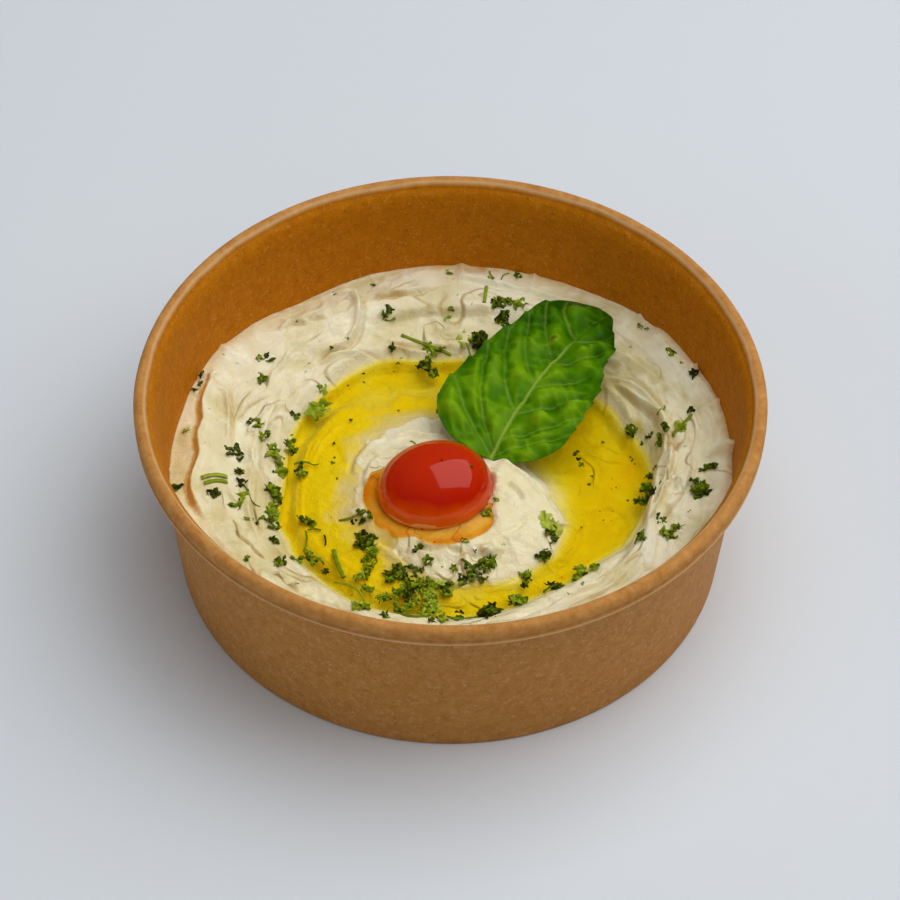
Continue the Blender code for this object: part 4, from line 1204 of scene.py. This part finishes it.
def leaf_middle(part, across):
    """Middle layer of the blade, its veins sunk and the blade puffed up between them."""
    a = (1.0 - part) ** 2
    b = 2.0 * part * (1.0 - part)
    c = part * part
    x = a * LEAF_FROM[0] + b * LEAF_BEND[0] + c * LEAF_TO[0]
    y = a * LEAF_FROM[1] + b * LEAF_BEND[1] + c * LEAF_TO[1]
    dx = 2 * (1 - part) * (LEAF_BEND[0] - LEAF_FROM[0]) + 2 * part * (LEAF_TO[0] - LEAF_BEND[0])
    dy = 2 * (1 - part) * (LEAF_BEND[1] - LEAF_FROM[1]) + 2 * part * (LEAF_TO[1] - LEAF_BEND[1])
    length = np.hypot(dx, dy)
    out = across * leaf_half_width(part, np.where(across >= 0, 1, -1))
    off = np.abs(out) / MM
    nearest = np.minimum(vein_distance(part, across, LEFT_VEINS, 1),
                         vein_distance(part, across, RIGHT_VEINS, -1))
    puff = 1.0 - hill(np.minimum(nearest, off * 0.8), 1.7)
    puff = puff * eased((1.0 - np.abs(across)) * 5.0) * eased(part * 6.0) * eased((1 - part) * 8)
    rib = hill(off, 0.50 - 0.26 * part) * (1.0 - 0.9 * eased((part - 0.62) * 6.0))
    z = along(LEAF_RISE, part) + LEAF_CUP * (np.abs(out) / LEAF_SPREAD) ** 1.4
    at_x, at_y = x - dy / length * out, y + dx / length * out
    wrinkle = flat_lumps(at_x, at_y, 3.6 * MM, 51)
    pucker = 1.0 - 2.0 * np.abs(flat_lumps(at_x + 0.3 * at_y, at_y, 2.3 * MM, 53))
    wave = lumps(part * 9 + 3, across * 1.5 + 9, 97, 52) * eased(np.abs(across) * 1.6 - 0.5)
    soft = eased((1.0 - np.abs(across)) * 6.0)
    z = z + MM * (1.55 * puff * (0.8 + 0.6 * wrinkle) - 0.25 + 0.16 * rib + 0.55 * wave)
    z = z + MM * soft * (0.75 * wrinkle + 0.20 * pucker)
    faint = 0.24 + 0.08 * eased(across * 4.0) + 0.34 * np.clip(flat_lumps(at_x, at_y, 7.0 * MM, 54) + 0.3, 0.0, 1.0)
    vein = np.maximum(rib, faint * hill(nearest, 0.32) * (1.0 - 0.5 * np.abs(across)))
    # the last value is painted light and shade: high on the puffs and wrinkles, low in the hollows
    return at_x, at_y, z, 0.5 * puff + 0.45 * wrinkle + 0.25 * pucker, vein


def basil_leaf(finish):
    """The whole leaf as one thin closed blade."""
    rows, columns = 150, 151
    run = 0.5 - 0.5 * np.cos(np.pi * np.linspace(0.0, 1.0, rows))
    parts = 0.004 + 0.992 * (0.5 * run + 0.5 * np.linspace(0, 1, rows))
    part, across = np.meshgrid(parts, np.linspace(-1.0, 1.0, columns), indexing="ij")
    x, y, z, puff, vein = leaf_middle(part, across)
    thin = 0.16 * MM + 0.30 * MM * vein ** 2
    edge = eased((1.0 - np.abs(across)) * 12.0) * eased(part * 60.0) * eased((1 - part) * 60.0)
    thin = 0.05 * MM + (thin - 0.05 * MM) * edge
    top = np.stack([x, y, z + thin], -1).reshape(-1, 3)
    under = np.stack([x, y, z - thin], -1).reshape(-1, 3)
    below = rows * columns
    faces = band(rows, columns, closed=False, flip=True)
    faces += band(rows, columns, first=below, closed=False)
    rim = [(i, i + 1) for i in range(columns - 1)]
    rim += [((i + 1) * columns - 1, (i + 2) * columns - 1) for i in range(rows - 1)]
    last = (rows - 1) * columns
    rim += [(last + i + 1, last + i) for i in range(columns - 1)]
    rim += [((i + 1) * columns, i * columns) for i in range(rows - 1)]
    faces += [(b, a, below + a, below + b) for a, b in rim]
    spot_x, spot_y = 25.4 * MM, 37.2 * MM
    off = np.hypot(x - spot_x, y - spot_y)
    spot = 0.8 * hill(off, 0.6 * MM)
    # painted light and shade: lighter towards the stalk and on the puffs, darker towards the tip, at the edges and
    # in the hollows
    leaf_light_and_shade = 0.66 - 0.10 * np.abs(across) - 0.03 * across + 0.12 * eased((0.4 - part) * 4.0) - 0.40 * eased((part - 0.60) * 3.0)
    leaf_light_and_shade = leaf_light_and_shade + 0.60 * (puff - 0.4)
    values = {"leaf_light_and_shade": leaf_light_and_shade, "vein": np.maximum(vein, 0.25 * hill(off - 1.1 * MM, 0.3 * MM)),
              "spot": spot}
    return add_piece("basil_leaf_blade", np.vstack([top, under]), faces, [finish],
                     {key: np.concatenate([v.ravel(), v.ravel()]) for key, v in values.items()})


# ---------------------------------------------------------------- herbs


def landing(ground, x, y):
    """Where a herb dropped at x, y comes to rest: its point and the slope it lies on, which is
    the hummus, or the level oil where that is higher."""
    hit, slope, _, _ = ground.ray_cast(Vector((x, y, RIM_HEIGHT * 2)), Vector((0, 0, -1)))
    if hit is None:
        return SEAT_LEVEL, Vector((0, 0, 1))
    if hit.z < OIL_LEVEL:
        return OIL_LEVEL, Vector((0, 0, 1))
    slope = slope if slope.z > 0 else -slope
    return hit.z, (slope + Vector((0, 0, 0.6))).normalized()


def parsley_bit(random, size, lobes, crumple):
    """One bit of parsley leaf lying flat: its outline lobed and ragged, the blade folded,
    curled and crumpled. Rows of points run from its middle to its edge."""
    around, rows = 18, 5
    angle = np.arange(around) * math.tau / around
    slim = random.uniform(0.6, 1.0)
    edge = 0.62 * size * (0.76 + 0.24 * np.cos(lobes * angle))
    edge = edge * random.uniform(0.80, 1.15, around)
    share = np.linspace(0.06, 1.0, rows)[:, None]
    x = share * edge * np.cos(angle)
    y = share * edge * np.sin(angle) * slim
    z = random.uniform(-0.1, 0.5) * np.abs(y) + random.uniform(-0.3, 0.6) / size * x * x
    for _ in range(3):
        heading = random.uniform(0, math.tau)
        ripple = math.tau / (size * random.uniform(0.35, 0.75))
        run = x * math.cos(heading) + y * math.sin(heading)
        z = z + crumple * size * 0.07 * np.sin(run * ripple + random.uniform(0, math.tau))
    return x, y, z


def parsley(name, finish, ground, bits, seed, crumple):
    """Bits of parsley laid on the dish as one piece, each thin, closed and turned its own way.
    bits are (x, y, lift, size, lobes, tone) in millimetres."""
    random = np.random.default_rng(seed)
    points, faces, tones = [], [], []
    for at_x, at_y, lift, size, lobes, tone in bits:
        x, y, z = parsley_bit(random, size, lobes, crumple)
        rows, around = x.shape
        height, slope = landing(ground, at_x * MM, at_y * MM)
        lean = Euler((random.normal(0, 0.22), random.normal(0, 0.22), random.uniform(0, 6.28)))
        turned = np.array(slope.to_track_quat("Z", "Y").to_matrix() @ lean.to_matrix())
        thick = 0.11 - 0.07 * np.linspace(0, 1, rows)[:, None] ** 2 + 0 * x
        spots = []
        for side in (1, -1):
            blade = np.stack([x, y, z + side * thick], -1).reshape(-1, 3) @ turned.T
            spots.append(blade)
        sunk = min(spots[0][:, 2].min(), spots[1][:, 2].min())
        place = np.array([at_x, at_y, height / MM + lift - sunk - 0.30 - 0.10 * size])
        first = len(points)
        bit = (np.vstack(spots) + place) * MM
        # a bit by the wall is moved in until it only touches the paper
        beyond = (np.hypot(bit[:, 0], bit[:, 1]) - inner_wall(bit[:, 2])).max() + 0.15 * MM
        bit[:, :2] -= max(beyond, 0.0) * np.array([at_x, at_y]) / math.hypot(at_x, at_y)
        points += bit.tolist()
        below = first + rows * around
        faces += band(rows, around, first) + band(rows, around, below, flip=True)
        last = (rows - 1) * around
        for i in range(around):
            j = (i + 1) % around
            faces.append((first + last + j, first + last + i, below + last + i, below + last + j))
        faces.append(tuple(first + i for i in range(around)))
        faces.append(tuple(below + i for i in reversed(range(around))))
        # painted light and shade: the raised parts of a bit are lighter and its hollows darker
        raised = (z - z.min()) / max(np.ptp(z), 0.01) - 0.5
        shade = np.clip(tone + 0.62 * raised, 0.0, 1.0).ravel().tolist()
        tones += shade + shade
    return add_piece(name, points, faces, [finish], {"tone": tones})


def pinched(seed):
    """Every bit of the dropped pinches, those dropped last lying on the others."""
    random = np.random.default_rng(seed)
    bits = []
    for degrees, radius, spread, count, size, tone in PINCHES:
        x, y = polar(degrees, radius)
        for k in range(count):
            away = spread * math.sqrt(random.uniform(0.0, 1.0)) * min(1.0, k)
            turn = random.uniform(0, math.tau)
            bits.append((x + away * math.cos(turn), y + away * math.sin(turn),
                         0.10 * k * random.uniform(0.3, 1.0), size * random.uniform(0.6, 1.1),
                         int(random.integers(2, 6)), tone + random.normal(0, 0.16)))
    return bits


def crumbs(count, seed):
    """Fine crumbs of herb over the whole dish."""
    random = np.random.default_rng(seed)
    bits = []
    for _ in range(count):
        x, y = polar(random.uniform(0, 360), 66.0 * math.sqrt(random.uniform(0.1, 1.0)))
        bits.append((x, y, 0.0, random.uniform(0.5, 1.2), 3, random.uniform(0.0, 0.6)))
    return bits


def leaflets(seed):
    """The few whole leaflets, each of three toothed lobes spread from one stalk."""
    random = np.random.default_rng(seed)
    bits = []
    for degrees, radius, size, tone in LEAFLETS:
        x, y = polar(degrees, radius)
        heading = random.uniform(0, 360)
        for turn in (-70, 0, 70):
            dx, dy = polar(heading + turn, 0.27 * size)
            bits.append((x + dx, y + dy, 0.3, 0.60 * size, 4, tone + random.normal(0, 0.12)))
    return bits


def herb_stems(name, finish, ground, seed):
    """Cut stems: slightly flattened tubes, a little bowed, laid on what is under them."""
    random = np.random.default_rng(seed)
    sides, steps = 12, 11
    points, faces, tones = [], [], []
    for degrees, radius, heading, length, bow, thick, tone in STEMS:
        middle = np.array(polar(degrees, radius * MM))
        ahead = np.array(polar(heading, 1.0))
        aside = np.array([-ahead[1], ahead[0]])
        share = np.linspace(-0.5, 0.5, steps)[:, None]
        line = middle + ahead * length * MM * share + aside * bow * MM * (1 - 4 * share ** 2)
        height = np.array([landing(ground, px, py)[0] for px, py in line])
        rise = np.polynomial.polynomial.polyfit(share[:, 0], height, 2)
        lift = np.polynomial.polynomial.polyval(share[:, 0], rise)
        lift = np.maximum(lift, height - 0.1 * MM)
        half = 0.5 * thick * MM * (1.0 - 0.2 * random.uniform(0, 1, steps))
        first = len(points)
        for k in range(steps):
            for s in range(sides):
                angle = s * math.tau / sides
                spot = line[k] + aside * half[k] * math.cos(angle)
                up = lift[k] + half[k] * (0.45 + 0.75 * math.sin(angle))
                points.append((spot[0], spot[1], up))
                # painted light and shade: a stem is lighter along its top and darker underneath, with three faint
                # bands of tone round it
                tones.append(tone + 0.12 * math.sin(angle * 3) + 0.15 * math.sin(angle))
        faces += band(steps, sides, first)
        faces.append(tuple(first + s for s in range(sides)))
        faces.append(tuple(first + (steps - 1) * sides + s for s in reversed(range(sides))))
    return add_piece(name, points, faces, [finish], {"tone": tones})


# ---------------------------------------------------------------- stage, light and camera


def studio_floor(finish):
    """One plain pale sheet under the bowl."""
    reach = 3.0
    floor = add_piece("studio_floor", [(-reach, -reach, 0), (reach, -reach, 0),
                                       (reach, reach, 0), (-reach, reach, 0)],
                      [(0, 1, 2, 3)], [finish], smooth=False)


def panel(name, degrees, up, distance, size, power, mirrored):
    """A soft square light looking at the dish from an angle round it and above it. Only the key
    light is mirrored in wet and waxy things."""
    light = bpy.data.lights.new(name, "AREA")
    light.shape = "SQUARE"
    light.size = size
    light.energy = power
    lamp = bpy.data.objects.new(name, light)
    bpy.context.scene.collection.objects.link(lamp)
    a, e = math.radians(degrees), math.radians(up)
    aim = Vector((0.0, 0.0, 0.02))
    back = Vector((math.cos(a) * math.cos(e), math.sin(a) * math.cos(e), math.sin(e)))
    lamp.location = aim + back * distance
    lamp.rotation_euler = back.to_track_quat("Z", "Y").to_euler()
    lamp.visible_glossy = mirrored


def studio_light():
    panel("key_softbox", 21.0, 56.0, 1.25, 1.45, 7.3, True)
    panel("high_softbox", 21.0, 74.0, 1.25, 1.45, 7.6, False)
    panel("front_panel", 298.0, 62.0, 1.5, 1.5, 3.6, False)
    panel("left_reflector", 204.0, 27.0, 1.5, 1.2, 2.5, False)
    world = bpy.data.worlds.new("room")
    world.use_nodes = True
    sky = world.node_tree.nodes["Background"]
    sky.inputs["Color"].default_value = paint("#EEF3FA")
    # the room fills the shadows but is too dark to be mirrored in wet and waxy things
    ray = node(world.node_tree, "ShaderNodeLightPath", {})
    glow = node(world.node_tree, "ShaderNodeMapRange", {
        "Value": ray.outputs["Is Glossy Ray"], "To Min": 0.14, "To Max": 0.05})
    world.node_tree.links.new(glow.outputs["Result"], sky.inputs["Strength"])
    bpy.context.scene.world = world


def studio_camera():
    """Long lens looking down on the dish from the front."""
    up, distance, roll = 0.8301, 0.91654, 0.0099
    pitch = math.radians(0.365)
    look = bpy.data.cameras.new("camera")
    look.lens = 151.55
    look.sensor_width = 36.0
    camera = bpy.data.objects.new("camera", look)
    bpy.context.scene.collection.objects.link(camera)
    camera.location = (0.0, -distance * math.cos(up), 0.022 + distance * math.sin(up))
    tilt = Matrix.Rotation(math.pi / 2 - up + pitch, 4, "X")
    camera.rotation_euler = (tilt @ Matrix.Rotation(roll, 4, "Z")).to_euler()
    bpy.context.scene.camera = camera


# ---------------------------------------------------------------- putting it together


def place_on_dish(piece, slot, *nodes):
    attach(piece, "root")
    if nodes:
        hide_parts(*nodes)


studio_camera()
studio_light()
studio_floor(painted_board("backdrop_board"))
bpy.context.scene.view_settings.view_transform = "Standard"

board = kraft_paper("kraft_board_outside", "#B4742A", "#CC8F44", "#E8C290", 0.64, 0.22)
inner = kraft_paper("kraft_board_inside", "#B66B05", "#CC7F0C", "#E2A652", 0.62, 0.10)
paste = whipped_hummus("whipped_hummus")
oil = clear_liquid("olive_oil", (0.006, 0.046, 0.95), 0.036, 0.0002)
juice = clear_liquid("tomato_juice", (0.07, 0.54, 2.0), 0.022, 0.0002)

bowl = paper_bowl(board, inner)
place_on_dish(bowl, "kraft_paper", "bowl_wall")
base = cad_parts["bowl_base"]
base.data.materials.clear()
base.data.materials.append(board)
hummus, ground = hummus_spread(paste)
place_on_dish(hummus, "hummus", "hummus")
pool = oil_pool(oil)
place_on_dish(pool, "olive_oil", "olive_oil")
tomato = cherry_tomato_half(tomato_skin("tomato_skin"))
place_on_dish(tomato, "tomato", "tomato_half")
place_on_dish(tomato_juice(juice), "tomato")
leaf = basil_leaf(basil_blade("basil_blade"))
place_on_dish(leaf, "basil", "basil_leaf")

chopped = chopped_herb("chopped_parsley", GREENS, 0.48)
cut_stem = chopped_herb("cut_chive", GREENS, 0.40)
fruit = [tuple(v.co) for v in tomato.data.vertices]
skin = [tuple(len(ground[0]) + k for k in face.vertices) for face in tomato.data.polygons]
land = BVHTree.FromPolygons(ground[0] + fruit, [tuple(f) for f in ground[1]] + skin)
place_on_dish(parsley("parsley_bits", chopped, land, pinched(61), 62, 1.0), None)
place_on_dish(parsley("parsley_leaflets", chopped, land, leaflets(74), 66, 0.45), None)
place_on_dish(parsley("herb_crumbs", chopped, land, crumbs(150, 63), 64, 0.6), None)
place_on_dish(herb_stems("chive_stems", cut_stem, land, 65), None)
